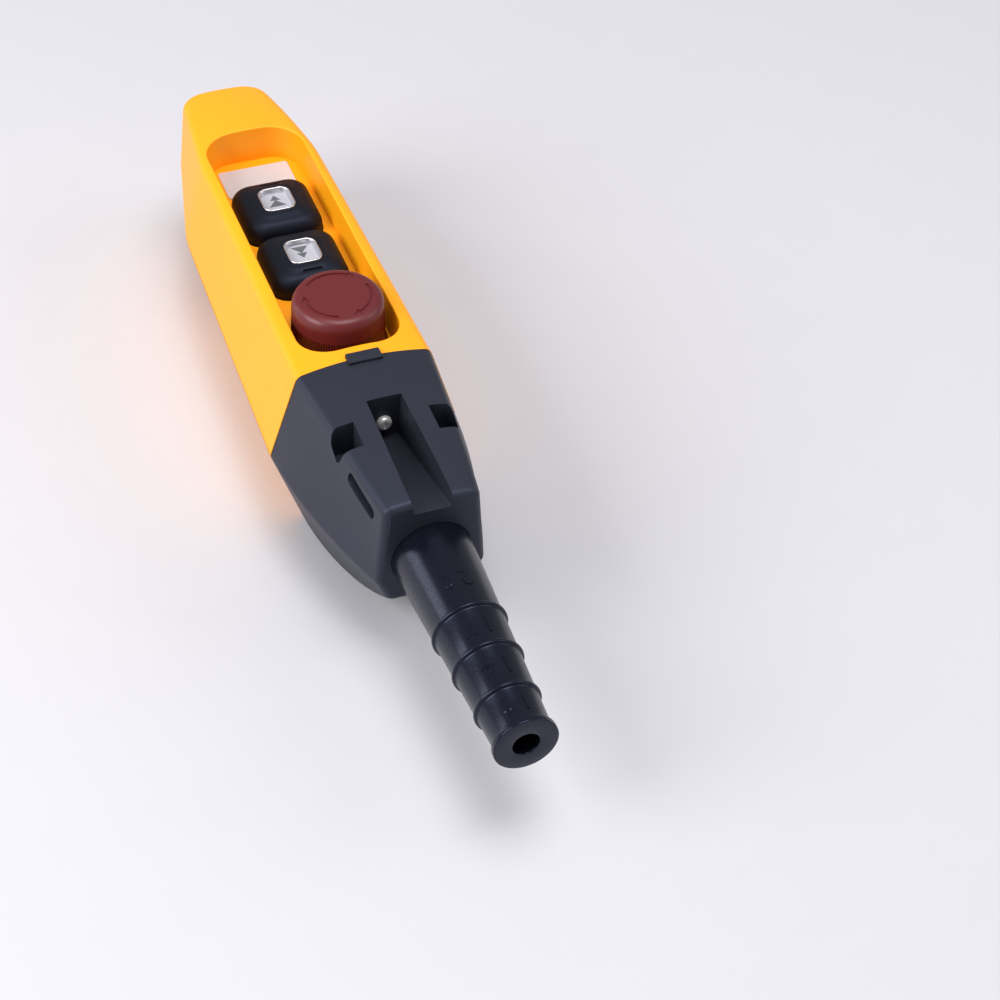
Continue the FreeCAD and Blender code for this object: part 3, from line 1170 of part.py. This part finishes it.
KEPT = ["front_shell", "rear_shell", "shell_gasket", "shell_screws", "cable_cap", "cap_screw", "cable_sleeve",
        "rating_label", "chassis", "chassis_screws", "cable_clamp", "clamp_bar", "clamp_screws", "stop_head",
        "stop_stem", "stop_bush", "stop_nut", "stop_spring", "stop_contact_block", "terminal_screws"]
KEPT += [f"{name}_{piece}" for name in BUTTONS
         for piece in ("boot", "bezel", "legend", "plunger", "spring", "contact_block")]

for item in doc.Objects:
    if "Invalid" in item.State or "Error" in item.State:
        raise ValueError(f"{item.Name} did not build")
os.makedirs("parts", exist_ok=True)
for label in KEPT:
    shape = doc.getObjectsByLabel(label)[0].Shape
    if shape.isNull() or not shape.isValid():
        raise ValueError(f"{label} has no valid shape")
    shape.exportStep(f"parts/{label}.step")
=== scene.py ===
import math

import bmesh
import bpy
from mathutils import Matrix, Vector


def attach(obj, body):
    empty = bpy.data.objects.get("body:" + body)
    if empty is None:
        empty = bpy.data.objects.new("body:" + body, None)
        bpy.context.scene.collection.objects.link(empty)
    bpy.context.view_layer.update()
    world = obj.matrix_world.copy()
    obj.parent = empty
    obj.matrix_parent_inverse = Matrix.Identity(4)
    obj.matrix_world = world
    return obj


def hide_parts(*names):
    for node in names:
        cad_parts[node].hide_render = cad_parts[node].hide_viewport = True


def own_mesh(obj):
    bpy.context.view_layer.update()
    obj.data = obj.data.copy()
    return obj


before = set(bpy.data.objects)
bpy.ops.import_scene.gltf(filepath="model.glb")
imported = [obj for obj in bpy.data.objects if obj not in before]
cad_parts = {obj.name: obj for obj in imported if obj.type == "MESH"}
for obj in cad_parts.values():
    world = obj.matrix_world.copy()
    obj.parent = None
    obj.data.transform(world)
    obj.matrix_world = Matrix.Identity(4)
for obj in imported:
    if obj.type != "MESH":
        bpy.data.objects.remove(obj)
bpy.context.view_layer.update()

# Camera: it looks over the cable end and the left flank, down on the front, through a long lens.
MM = 0.001
camera_data = bpy.data.cameras.new("camera")
camera_data.sensor_width = 36
camera_data.lens = 90
camera_data.clip_start = 0.05
camera = bpy.data.objects.new("camera", camera_data)
bpy.context.scene.collection.objects.link(camera)
camera_heading, camera_tilt, camera_roll = 22.811, 44.134, 2.977
camera.matrix_world = (
    Matrix.Translation(Vector((-188.67, -575.02, 580.38)) * MM)
    @ Matrix.Rotation(math.radians(-camera_heading), 4, "Z")
    @ Matrix.Rotation(math.radians(90 - camera_tilt), 4, "X")
    @ Matrix.Rotation(math.radians(camera_roll), 4, "Z")
)
bpy.context.scene.camera = camera

# Housing: two shells moulded in satin yellow ABS, screwed together from the back.
# The mould's spark-eroded face leaves a fine grain that dulls the gloss.


def linear(code):
    """An sRGB hex colour as linear red, green, blue and alpha."""
    parts = [int(code[start:start + 2], 16) / 255 for start in (1, 3, 5)]
    return tuple(((part + 0.055) / 1.055) ** 2.4 if part > 0.04045 else part / 12.92 for part in parts) + (1.0,)


def add_node(material, kind, settings=None, links=None):
    """Adds one node with its settings, by attribute or input, and the sockets that feed it."""
    made = material.node_tree.nodes.new(kind)
    for name, setting in (settings or {}).items():
        if isinstance(name, int) or name in made.inputs:
            made.inputs[name].default_value = setting
        else:
            setattr(made, name, setting)
    for name, source in (links or {}).items():
        material.node_tree.links.new(source, made.inputs[name])
    return made


def moulded(name, colour, tint, grain, depth, roughness, spread=0.08, **shader_settings):
    """A moulded surface: its grain in millimetres, and slow changes of colour and gloss."""
    material = bpy.data.materials.new(name)
    material.use_nodes = True
    material.node_tree.nodes.clear()
    place = add_node(material, "ShaderNodeTexCoord").outputs["Object"]
    cloud = add_node(material, "ShaderNodeTexNoise", {"Scale": 1 / (18 * MM), "Detail": 3.0}, {"Vector": place})
    fine = add_node(material, "ShaderNodeTexNoise", {"Scale": 1 / (grain * MM), "Detail": 2.0, "Roughness": 0.6},
                    {"Vector": place})
    mixed = add_node(material, "ShaderNodeMix", {"data_type": "RGBA", 6: linear(colour), 7: linear(tint)},
                     {0: cloud.outputs["Fac"]})
    gloss = add_node(material, "ShaderNodeMapRange", {"To Min": roughness - spread, "To Max": roughness + spread},
                     {"Value": fine.outputs["Fac"]})
    bump = add_node(material, "ShaderNodeBump", {"Strength": 1.0, "Distance": depth * MM},
                    {"Height": fine.outputs["Fac"]})
    shader = add_node(material, "ShaderNodeBsdfPrincipled", shader_settings,
                      {"Base Color": mixed.outputs[2], "Roughness": gloss.outputs["Result"], "Normal": bump.outputs["Normal"]})
    output = add_node(material, "ShaderNodeOutputMaterial", None, {"Surface": shader.outputs["BSDF"]})
    output.is_active_output = True
    return material


def dress(material, *nodes):
    """Gives CAD nodes their material."""
    for node in nodes:
        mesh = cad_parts[node].data
        mesh.materials.clear()
        mesh.materials.append(material)


yellow_abs = moulded("yellow_abs", "#FFAA0B", "#FFA406", 0.45, 0.012, 0.45, IOR=1.46)
dress(yellow_abs, "front_shell", "rear_shell")
gasket_rubber = moulded("gasket_rubber", "#2A2A2A", "#242424", 0.4, 0.01, 0.7, IOR=1.5)
dress(gasket_rubber, "shell_gasket")

# Cap on the cable end: black glass-filled nylon with an open, pebbled mould grain.
# One bright cross-head screw in its channel holds it to the housing; part of its brightness is painted highlight.
# A painted bluish sheen: this specular tint turns the reflections of the black nylon, sleeve and boots blue.
PAINTED_BLUE_SHEEN = {"Specular Tint": linear("#C6CEFA")}
black_nylon = moulded("black_nylon", "#282A32", "#23252C", 0.7, 0.03, 0.46, IOR=1.44, **PAINTED_BLUE_SHEEN)
dress(black_nylon, "cable_cap")
zinc_steel = moulded("zinc_steel", "#D5D5D2", "#B9B9B6", 0.3, 0.004, 0.28, Metallic=1.0)
dress(zinc_steel, "shell_screws", "chassis", "chassis_screws", "clamp_screws")

# Cable sleeve: soft black rubber, stepped so that it can be cut at a ring to suit the cable.
# Moulded in one piece, with plain numbers for the cable's size between the rings.
SLEEVE_UP, SLEEVE_ROOT, SLEEVE_REACH = 38, -75, 80
# The sleeve's reflections carry the painted bluish sheen.
sleeve_rubber = moulded("sleeve_rubber", "#0B0E16", "#080A10", 0.9, 0.004, 0.26, IOR=1.47, **PAINTED_BLUE_SHEEN)


def new_piece(name, bm, material, body, slot, *nodes, smooth=True):
    """Makes a bmesh, modelled in millimetres, a piece that rides a body and stands for CAD nodes."""
    bmesh.ops.remove_doubles(bm, verts=bm.verts, dist=0.001)
    bmesh.ops.recalc_face_normals(bm, faces=bm.faces)
    bmesh.ops.scale(bm, vec=Vector((MM, MM, MM)), verts=bm.verts)
    mesh = bpy.data.meshes.new(name)
    bm.to_mesh(mesh)
    bm.free()
    mesh.materials.append(material)
    if smooth:
        mesh.shade_smooth()
        mesh.set_sharp_from_angle(angle=math.radians(42))
    piece = bpy.data.objects.new(name, mesh)
    bpy.context.scene.collection.objects.link(piece)
    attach(piece, body)
    if nodes:
        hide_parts(*nodes)
    return piece


def spun(points, centre, axis, steps):
    """A closed turned form from radius and height pairs; its axis starts at the centre."""
    bm = bmesh.new()
    across = Vector((1, 0, 0))
    verts = [bm.verts.new(Vector(centre) + across * radius + Vector(axis) * height) for radius, height in points]
    edges = [bm.edges.new(pair) for pair in zip(verts, verts[1:] + verts[:1])]
    bmesh.ops.spin(bm, geom=verts + edges, cent=Vector(centre), axis=Vector(axis), angle=math.tau, steps=steps,
                   use_merge=True)
    return bm


def rounded(points, radius, steps=4):
    """Replaces each corner of a closed outline that turns by an arc of small runs."""
    smooth = []
    for index, corner in enumerate(points):
        here = Vector(corner[:2])
        size = corner[2] if len(corner) > 2 else radius
        before = Vector(points[index - 1][:2]) - here
        after = Vector(points[(index + 1) % len(points)][:2]) - here
        reach = min(size, before.length * 0.45, after.length * 0.45)
        if reach < 0.02:
            smooth.append(tuple(here))
            continue
        start, end = here + before.normalized() * reach, here + after.normalized() * reach
        for step in range(steps + 1):
            t = step / steps
            smooth.append(tuple((1 - t) ** 2 * start + 2 * t * (1 - t) * here + t ** 2 * end))
    return smooth


def sleeve_radius(along):
    """Radius of the sleeve's plain taper at a distance from the cap's end face."""
    return 12.9 + (8.9 - 12.9) * along / SLEEVE_REACH


sleeve_points = [(7.2, -5.5), (13.85, -5.5), (13.85, -3), (12.9, -3), (12.9, 0, 0)]
for ring in (33.7, 49, 65):
    sleeve_points += [(sleeve_radius(ring - 0.9), ring - 0.9), (sleeve_radius(ring) + 0.85, ring - 0.5),
                      (sleeve_radius(ring) + 0.85, ring + 0.5), (sleeve_radius(ring + 0.9), ring + 0.9)]
sleeve_points += [(sleeve_radius(77.6), 77.6), (10.05, 77.9), (10.05, 80), (4.2, 80), (4.2, 34)]
sleeve = spun(rounded(sleeve_points, 0.35, 3), (0, SLEEVE_ROOT, SLEEVE_UP), (0, -1, 0), 128)
new_piece("rubber_sleeve", sleeve, sleeve_rubber, "housing", "black_rubber", "cable_sleeve")

for number, along in (("20", 22.5), ("17", 41.3), ("14", 57), ("10", 71.4)):
    text = bpy.data.curves.new("cable_size", "FONT")
    text.body = number
    text.size = 8.6
    text.space_character = 1.4
    text.align_x, text.align_y = "CENTER", "CENTER"
    text.resolution_u = 3
    lettering = bpy.data.objects.new("cable_size", text)
    raised = bmesh.new()
    raised.from_mesh(bpy.data.meshes.new_from_object(lettering))
    bpy.data.objects.remove(lettering)
    bmesh.ops.triangulate(raised, faces=raised.faces)
    lifted = bmesh.ops.extrude_face_region(raised, geom=raised.faces[:])["geom"]
    outside = {vert for vert in lifted if isinstance(vert, bmesh.types.BMVert)}
    for vert in raised.verts:
        reach = sleeve_radius(along + vert.co.y) + (0.22 if vert in outside else -0.3)
        turn = math.radians(93) + vert.co.x / sleeve_radius(along)
        vert.co = Vector((reach * math.cos(turn), SLEEVE_ROOT - along - vert.co.y, SLEEVE_UP + reach * math.sin(turn)))
    new_piece(f"raised_number_{number}", raised, sleeve_rubber, "housing", "black_rubber")

# Pushbuttons: each a soft black boot with a window, in which a bright frame holds a plate.
# The plate carries two arrowheads that show the way the hoist runs.
# The boot's reflections carry the painted bluish sheen.
boot_rubber = moulded("boot_rubber", "#0D0F14", "#0A0C11", 0.5, 0.008, 0.5, IOR=1.38, **PAINTED_BLUE_SHEEN)
frame_chrome = moulded("frame_chrome", "#DCDCE0", "#D6D6DA", 0.5, 0.0002, 0.3, spread=0.02, Metallic=1.0)
plate_silver = moulded("plate_silver", "#B2B1B8", "#ABAAB2", 0.6, 0.002, 0.42)
arrow_ink = moulded("arrow_ink", "#5C5E63", "#56585D", 0.4, 0.001, 0.5)


def cut_from(piece, bm):
    """Takes a bmesh, modelled in millimetres, out of a piece."""
    bmesh.ops.recalc_face_normals(bm, faces=bm.faces)
    bmesh.ops.scale(bm, vec=Vector((MM, MM, MM)), verts=bm.verts)
    mesh = bpy.data.meshes.new("cutter")
    bm.to_mesh(mesh)
    bm.free()
    cutter = bpy.data.objects.new("cutter", mesh)
    bpy.context.scene.collection.objects.link(cutter)
    difference = piece.modifiers.new("cut", "BOOLEAN")
    difference.operation, difference.solver, difference.use_self = "DIFFERENCE", "EXACT", True
    difference.object = cutter
    seen = piece.evaluated_get(bpy.context.evaluated_depsgraph_get())
    kept = bpy.data.meshes.new_from_object(seen)
    piece.modifiers.remove(difference)
    piece.data = kept
    bpy.data.objects.remove(cutter)
    kept.shade_smooth()
    kept.set_sharp_from_angle(angle=math.radians(35))


def ring(bm, half_x, half_y, radius, up, along):
    """The edges of a rounded rectangle on the centre line, at a height."""
    verts = bmesh.ops.create_grid(bm, x_segments=1, y_segments=1, size=1.0)["verts"]
    bmesh.ops.scale(bm, vec=Vector((half_x, half_y, 1)), verts=verts)
    bmesh.ops.translate(bm, vec=Vector((0, along, up)), verts=verts)
    made = bmesh.ops.bevel(bm, geom=verts, offset=radius, segments=10, profile=0.5, affect="VERTICES", material=-1)
    corner_verts = made["verts"]
    face = next(face for face in corner_verts[0].link_faces)
    edges = list(face.edges)
    bmesh.ops.delete(bm, geom=[face], context="FACES_ONLY")
    return edges


def lofted(rings, along, closed=True):
    """A form through rounded rectangles, given as half sizes, corner radius and height."""
    bm = bmesh.new()
    loops = [ring(bm, *sizes, along) for sizes in rings]
    pairs = list(zip(loops, loops[1:]))
    if closed:
        pairs.append((loops[-1], loops[0]))
    for low, high in pairs:
        bmesh.ops.bridge_loops(bm, edges=low + high)
    return bm


def boot_rings(top):
    """The boot's section, up the outside, over the domed top and down into the window."""
    rings = [(12.6, 13.0, 5.2, 44.5), (13.5, 13.9, 6, 45.4), (13.5, 13.9, 6, 51.6)]
    for step in range(1, 9):
        turn = step / 8 * math.pi / 2
        inset = 4.4 * (1 - math.cos(turn))
        rings.append((13.5 - inset, 13.9 - inset, 6 - inset * 0.45, 51.6 + 5.2 * math.sin(turn)))
    rings += [(7.9, 8.4, 3.6, top - 0.28), (6.5, 7.1, 3.4, top - 0.03), (5.95, 6.55, 3.3, top),
              (5.72, 6.32, 3.2, top - 0.2), (5.72, 6.32, 3.2, 55.2)]
    return rings


def slot_cutter(across, along, half_width, half_length, radius, low, high):
    """A short rounded slot, cut from one height up to another."""
    bm = lofted([(half_width, half_length, radius, low), (half_width, half_length, radius, high)], along, closed=False)
    bmesh.ops.holes_fill(bm, edges=bm.edges)
    bmesh.ops.translate(bm, vec=Vector((across, 0, 0)), verts=bm.verts)
    return bm


BUTTONS = {"down": (53.8, -1), "up": (83.5, 1)}
ARROWHEADS = {"down": ((3.0, 3.5, -4.5), (1.8, 2.6, -1.1)), "up": ((3.0, 3.5, -1.9), (1.8, 2.7, 1.5))}
for name, (along, way) in BUTTONS.items():
    body = f"{name}_button"
    rubber_boot = new_piece(f"{name}_rubber_boot", lofted(boot_rings(57.7) + [(12.0, 12.4, 4.8, 55.2),
                                                                              (12.0, 12.4, 4.8, 44.5)], along),
                            boot_rubber, body, "boot_rubber", f"{name}_boot")
    cut_from(rubber_boot, slot_cutter(0.5, along + way * 9.3, 3.4, 0.45, 0.4, 56.6, 60))
    new_piece(f"{name}_frame", lofted([(5.68, 6.28, 3.2, 55.2), (5.68, 6.28, 3.2, 57.8), (5.62, 6.22, 3.15, 57.98),
                                       (5.48, 6.08, 3.05, 58.08), (5.3, 5.9, 2.95, 58.08), (5.16, 5.74, 2.85, 57.98),
                                       (5.08, 5.62, 2.8, 57.75), (4.75, 5.25, 2.6, 56.0), (4.75, 5.25, 2.6, 55.2)],
                                      along),
              frame_chrome, body, "bright_frame", f"{name}_bezel")
    plate = lofted([(4.74, 5.24, 2.6, 55.8), (4.74, 5.24, 2.6, 56.05)], along, closed=False)
    bmesh.ops.holes_fill(plate, edges=plate.edges)
    new_piece(f"{name}_plate", plate, plate_silver, body, "plate_plastic", f"{name}_legend")
    arrows = bmesh.new()
    for half_width, length, start in ARROWHEADS[name]:
        verts = bmesh.ops.create_circle(arrows, cap_ends=True, segments=3, radius=1)["verts"]
        for vert, (x, y) in zip(verts, ((0, length), (-half_width, 0), (half_width, 0))):
            vert.co = Vector((x, along + way * (start + y), 56.06))
    bmesh.ops.solidify(arrows, geom=arrows.faces[:], thickness=-0.05)
    new_piece(f"{name}_arrowheads", arrows, arrow_ink, body, "plate_plastic", smooth=False)

# Stop button: a mushroom head in satin maroon plastic, grooved round its skirt for grip.
# Three sunk arrows on its top show the clockwise turn that releases it.
stop_plastic = moulded("stop_plastic", "#641E21", "#5E1B1E", 0.6, 0.006, 0.38, IOR=1.46)
STOP_ALONG = 16
head_points = [(0, 0.0), (9.2, 0.0), (11.2, 0.0), (11.9, -0.04), (12.7, -0.18), (13.4, -0.5), (14.0, -1.0),
               (14.45, -1.65), (14.78, -2.45), (14.97, -3.4), (15.03, -4.5), (15.06, -6.0), (15.1, -8.2), (15.14, -8.5), (15.48, -19.5), (15.2, -19.8), (12.8, -19.8), (12.8, -4.5), (0, -4.5)]
head = bmesh.new()
verts = [head.verts.new((radius, STOP_ALONG, 68.3 + height)) for radius, height in head_points]
edges = [head.edges.new(pair) for pair in zip(verts, verts[1:])]
RIBS = 108
bmesh.ops.spin(head, geom=verts + edges, cent=(0, STOP_ALONG, 0), axis=(0, 0, 1), angle=math.tau, steps=RIBS * 2,
               use_merge=True)
bmesh.ops.remove_doubles(head, verts=head.verts, dist=0.001)
for vert in head.verts:
    spoke = Vector((vert.co.x, vert.co.y - STOP_ALONG, 0))
    turn = round(math.atan2(spoke.y, spoke.x) / (math.tau / (RIBS * 2)))
    if turn % 2 and spoke.length > 15.1 and vert.co.z < 68.3 - 8.4:
        vert.co -= spoke.normalized() * 0.45
mushroom = new_piece("mushroom_head", head, stop_plastic, "stop_mushroom", "red_plastic", "stop_head")

sunk = bmesh.new()
for tail, tip in ((137, 52), (14, -70), (-106, -184)):
    section = bmesh.ops.create_circle(sunk, segments=4, radius=math.sqrt(2))["verts"]
    bmesh.ops.rotate(sunk, verts=section, matrix=Matrix.Rotation(math.radians(45), 3, "Z"))
    bmesh.ops.scale(sunk, vec=Vector((0.55, 0.8, 1)), verts=section)
    bmesh.ops.rotate(sunk, verts=section, matrix=Matrix.Rotation(math.radians(90), 3, "X"))
    bmesh.ops.translate(sunk, vec=Vector((10.8, 0, 0.4)), verts=section)
    bmesh.ops.rotate(sunk, verts=section, matrix=Matrix.Rotation(math.radians(tail), 3, "Z"))
    outline = section + list({edge for vert in section for edge in vert.link_edges})
    bmesh.ops.spin(sunk, geom=outline, cent=(0, 0, 0), axis=(0, 0, -1), angle=math.radians(tail - tip), steps=24)
    head_verts = bmesh.ops.create_circle(sunk, cap_ends=True, segments=3, radius=1)["verts"]
    bmesh.ops.scale(sunk, vec=Vector((1.6, 1.75, 1)), verts=head_verts)
    pointed = bmesh.ops.extrude_face_region(sunk, geom=list({face for vert in head_verts for face in vert.link_faces}))
    upper = [vert for vert in pointed["geom"] if isinstance(vert, bmesh.types.BMVert)]
    bmesh.ops.translate(sunk, vec=Vector((0, 0, 1.6)), verts=upper)
    bmesh.ops.translate(sunk, vec=Vector((0, 0, -0.4)), verts=head_verts + upper)
    bmesh.ops.rotate(sunk, verts=head_verts + upper, matrix=Matrix.Rotation(math.radians(180), 3, "Z"))
    bmesh.ops.translate(sunk, vec=Vector((10.8, 0, 0)), verts=head_verts + upper)
    bmesh.ops.rotate(sunk, verts=head_verts + upper, matrix=Matrix.Rotation(math.radians(tip), 3, "Z"))
bmesh.ops.holes_fill(sunk, edges=sunk.edges)
bmesh.ops.translate(sunk, vec=Vector((0, STOP_ALONG, 68.3)), verts=sunk.verts)
cut_from(mushroom, sunk)

# Cap screw: a plated pan-head screw with a cross recess, at the far end of the cap's channel.
# It faces the cable end, and its thread runs on into the front shell's anchor.
# Its near-white, half-matt steel is partly painted highlight, which keeps the head bright in the channel's shade.
screw_steel_painted_highlight = moulded("screw_steel_painted_highlight", "#F2F0EE", "#E6E4E2", 0.25, 0.004, 0.3, Metallic=0.5)
SCREW_FACE, SCREW_UP = -31.5, 53
profile = [(0, 0), (1.2, -0.03), (1.8, -0.16), (2.2, -0.42), (2.42, -0.8), (2.48, -1.25), (2.48, -2),
           (1.7, -2), (1.7, -17.9), (1.1, -18.5), (0, -18.5)]
screw = bmesh.new()
verts = [screw.verts.new((radius, SCREW_FACE - height, SCREW_UP)) for radius, height in profile]
edges = [screw.edges.new(pair) for pair in zip(verts, verts[1:])]
bmesh.ops.spin(screw, geom=verts + edges, cent=(0, 0, SCREW_UP), axis=(0, 1, 0), angle=math.tau, steps=48,
               use_merge=True)
pan_head = new_piece("pan_head_screw", screw, screw_steel_painted_highlight, "housing", "zinc_steel", "cap_screw")
recess = bmesh.new()
for size in ((3.1, 2.6, 0.8), (0.8, 2.6, 3.1)):
    bar = bmesh.ops.create_cube(recess, size=1)["verts"]
    bmesh.ops.scale(recess, vec=Vector(size), verts=bar)
bmesh.ops.translate(recess, vec=Vector((0, SCREW_FACE, SCREW_UP)), verts=recess.verts)
cut_from(pan_head, recess)

# Label at the recess's far end: a pale printed film, left bare here.
label_film = moulded("label_film", "#CBC7C9", "#C5C1C3", 0.35, 0.002, 0.42)
dress(label_film, "rating_label")

# Inner works: contact blocks and clamp in grey polyamide, brass terminals, wire springs.
grey_polyamide = moulded("grey_polyamide", "#9A9C9E", "#8F9193", 0.5, 0.01, 0.5)
dress(grey_polyamide, "cable_clamp", "clamp_bar", "stop_stem", "stop_bush", "stop_contact_block", "down_contact_block",
      "up_contact_block", "down_plunger", "up_plunger")
brass = moulded("brass", "#C9A45C", "#BD9850", 0.3, 0.003, 0.3, Metallic=1.0)
dress(brass, "stop_nut", "terminal_screws")
spring_wire = moulded("spring_wire", "#B5B5B5", "#A5A5A5", 0.3, 0.003, 0.3, Metallic=1.0)

# Return springs: steel wire coiled cold, each between its block or bush and the button above it.
# Each coil is built here at rest and rides the housing; nothing shortens it as its button goes down.
COIL_STEPS = 24
SPRINGS = {"stop_push": ("stop_spring", STOP_ALONG, 9.3, 1.3, 4, 45.64, 63.72, 0.745),
           "down_press": ("down_spring", BUTTONS["down"][0], 6.2, 0.9, 3, 36.11, 44.42, 0.51),
           "up_press": ("up_spring", BUTTONS["up"][0], 6.2, 0.9, 3, 36.11, 44.42, 0.51)}
for joint, (node, along, radius, wire, turns, low, high, kept) in SPRINGS.items():
    coil = bmesh.new()
    section = bmesh.ops.create_circle(coil, segments=10, radius=wire / 2)["verts"]
    bmesh.ops.rotate(coil, verts=section, matrix=Matrix.Rotation(math.radians(90), 3, "X"))
    bmesh.ops.translate(coil, vec=Vector((radius, along, low + wire / 2)), verts=section)
    rise = (high - low - wire) / (turns * COIL_STEPS)
    bmesh.ops.spin(coil, geom=section + coil.edges[:], cent=(0, along, 0), axis=(0, 0, 1),
                   dvec=Vector((0, 0, rise)), angle=math.tau * turns, steps=turns * COIL_STEPS)
    bmesh.ops.holes_fill(coil, edges=coil.edges)
    piece = new_piece(f"{node}_coil", coil, spring_wire, "housing", "spring_steel", node)
    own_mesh(piece)

# Studio: a pale table under broad soft lamps; not part of the object.
floor_mesh = bpy.data.meshes.new("table")
floor_bm = bmesh.new()
bmesh.ops.create_grid(floor_bm, x_segments=1, y_segments=1, size=4)
floor_bm.to_mesh(floor_mesh)
floor_bm.free()
floor = bpy.data.objects.new("table", floor_mesh)
bpy.context.scene.collection.objects.link(floor)
floor.location.z = -0.0002
table_paint = moulded("table_paint", "#CAC9CE", "#C8C7CC", 2.0, 0.001, 0.6)
floor_mesh.materials.append(table_paint)

world = bpy.data.worlds.new("studio")
bpy.context.scene.world = world
world.use_nodes = True
world.node_tree.nodes["Background"].inputs["Color"].default_value = linear("#F4F3F8")
world.node_tree.nodes["Background"].inputs["Strength"].default_value = 0.42


def soft_lamp(name, place, target, size, power, colour="#FFFFFF"):
    """A square soft box that faces a point."""
    data = bpy.data.lights.new(name, "AREA")
    data.shape = "RECTANGLE"
    data.size, data.size_y = size
    data.energy = power
    data.color = linear(colour)[:3]
    lamp = bpy.data.objects.new(name, data)
    bpy.context.scene.collection.objects.link(lamp)
    lamp.location = place
    lamp.rotation_euler = (Vector(target) - Vector(place)).to_track_quat("-Z", "Y").to_euler()


soft_lamp("left_box", (-0.95, -0.1, 0.7), (0, 0, 0.03), (0.7, 0.7), 11.5)
soft_lamp("top_box", (0.15, -0.12, 1.7), (0, 0.05, 0.03), (0.9, 0.9), 18)
soft_lamp("right_box", (1.0, -0.3, 0.7), (0, 0, 0.03), (0.7, 0.7), 3)
soft_lamp("streak_box", (-0.75, 0.62, 0.3), (0, -0.1, 0.04), (0.16, 0.5), 1.0)

bpy.context.scene.view_settings.view_transform = "Standard"
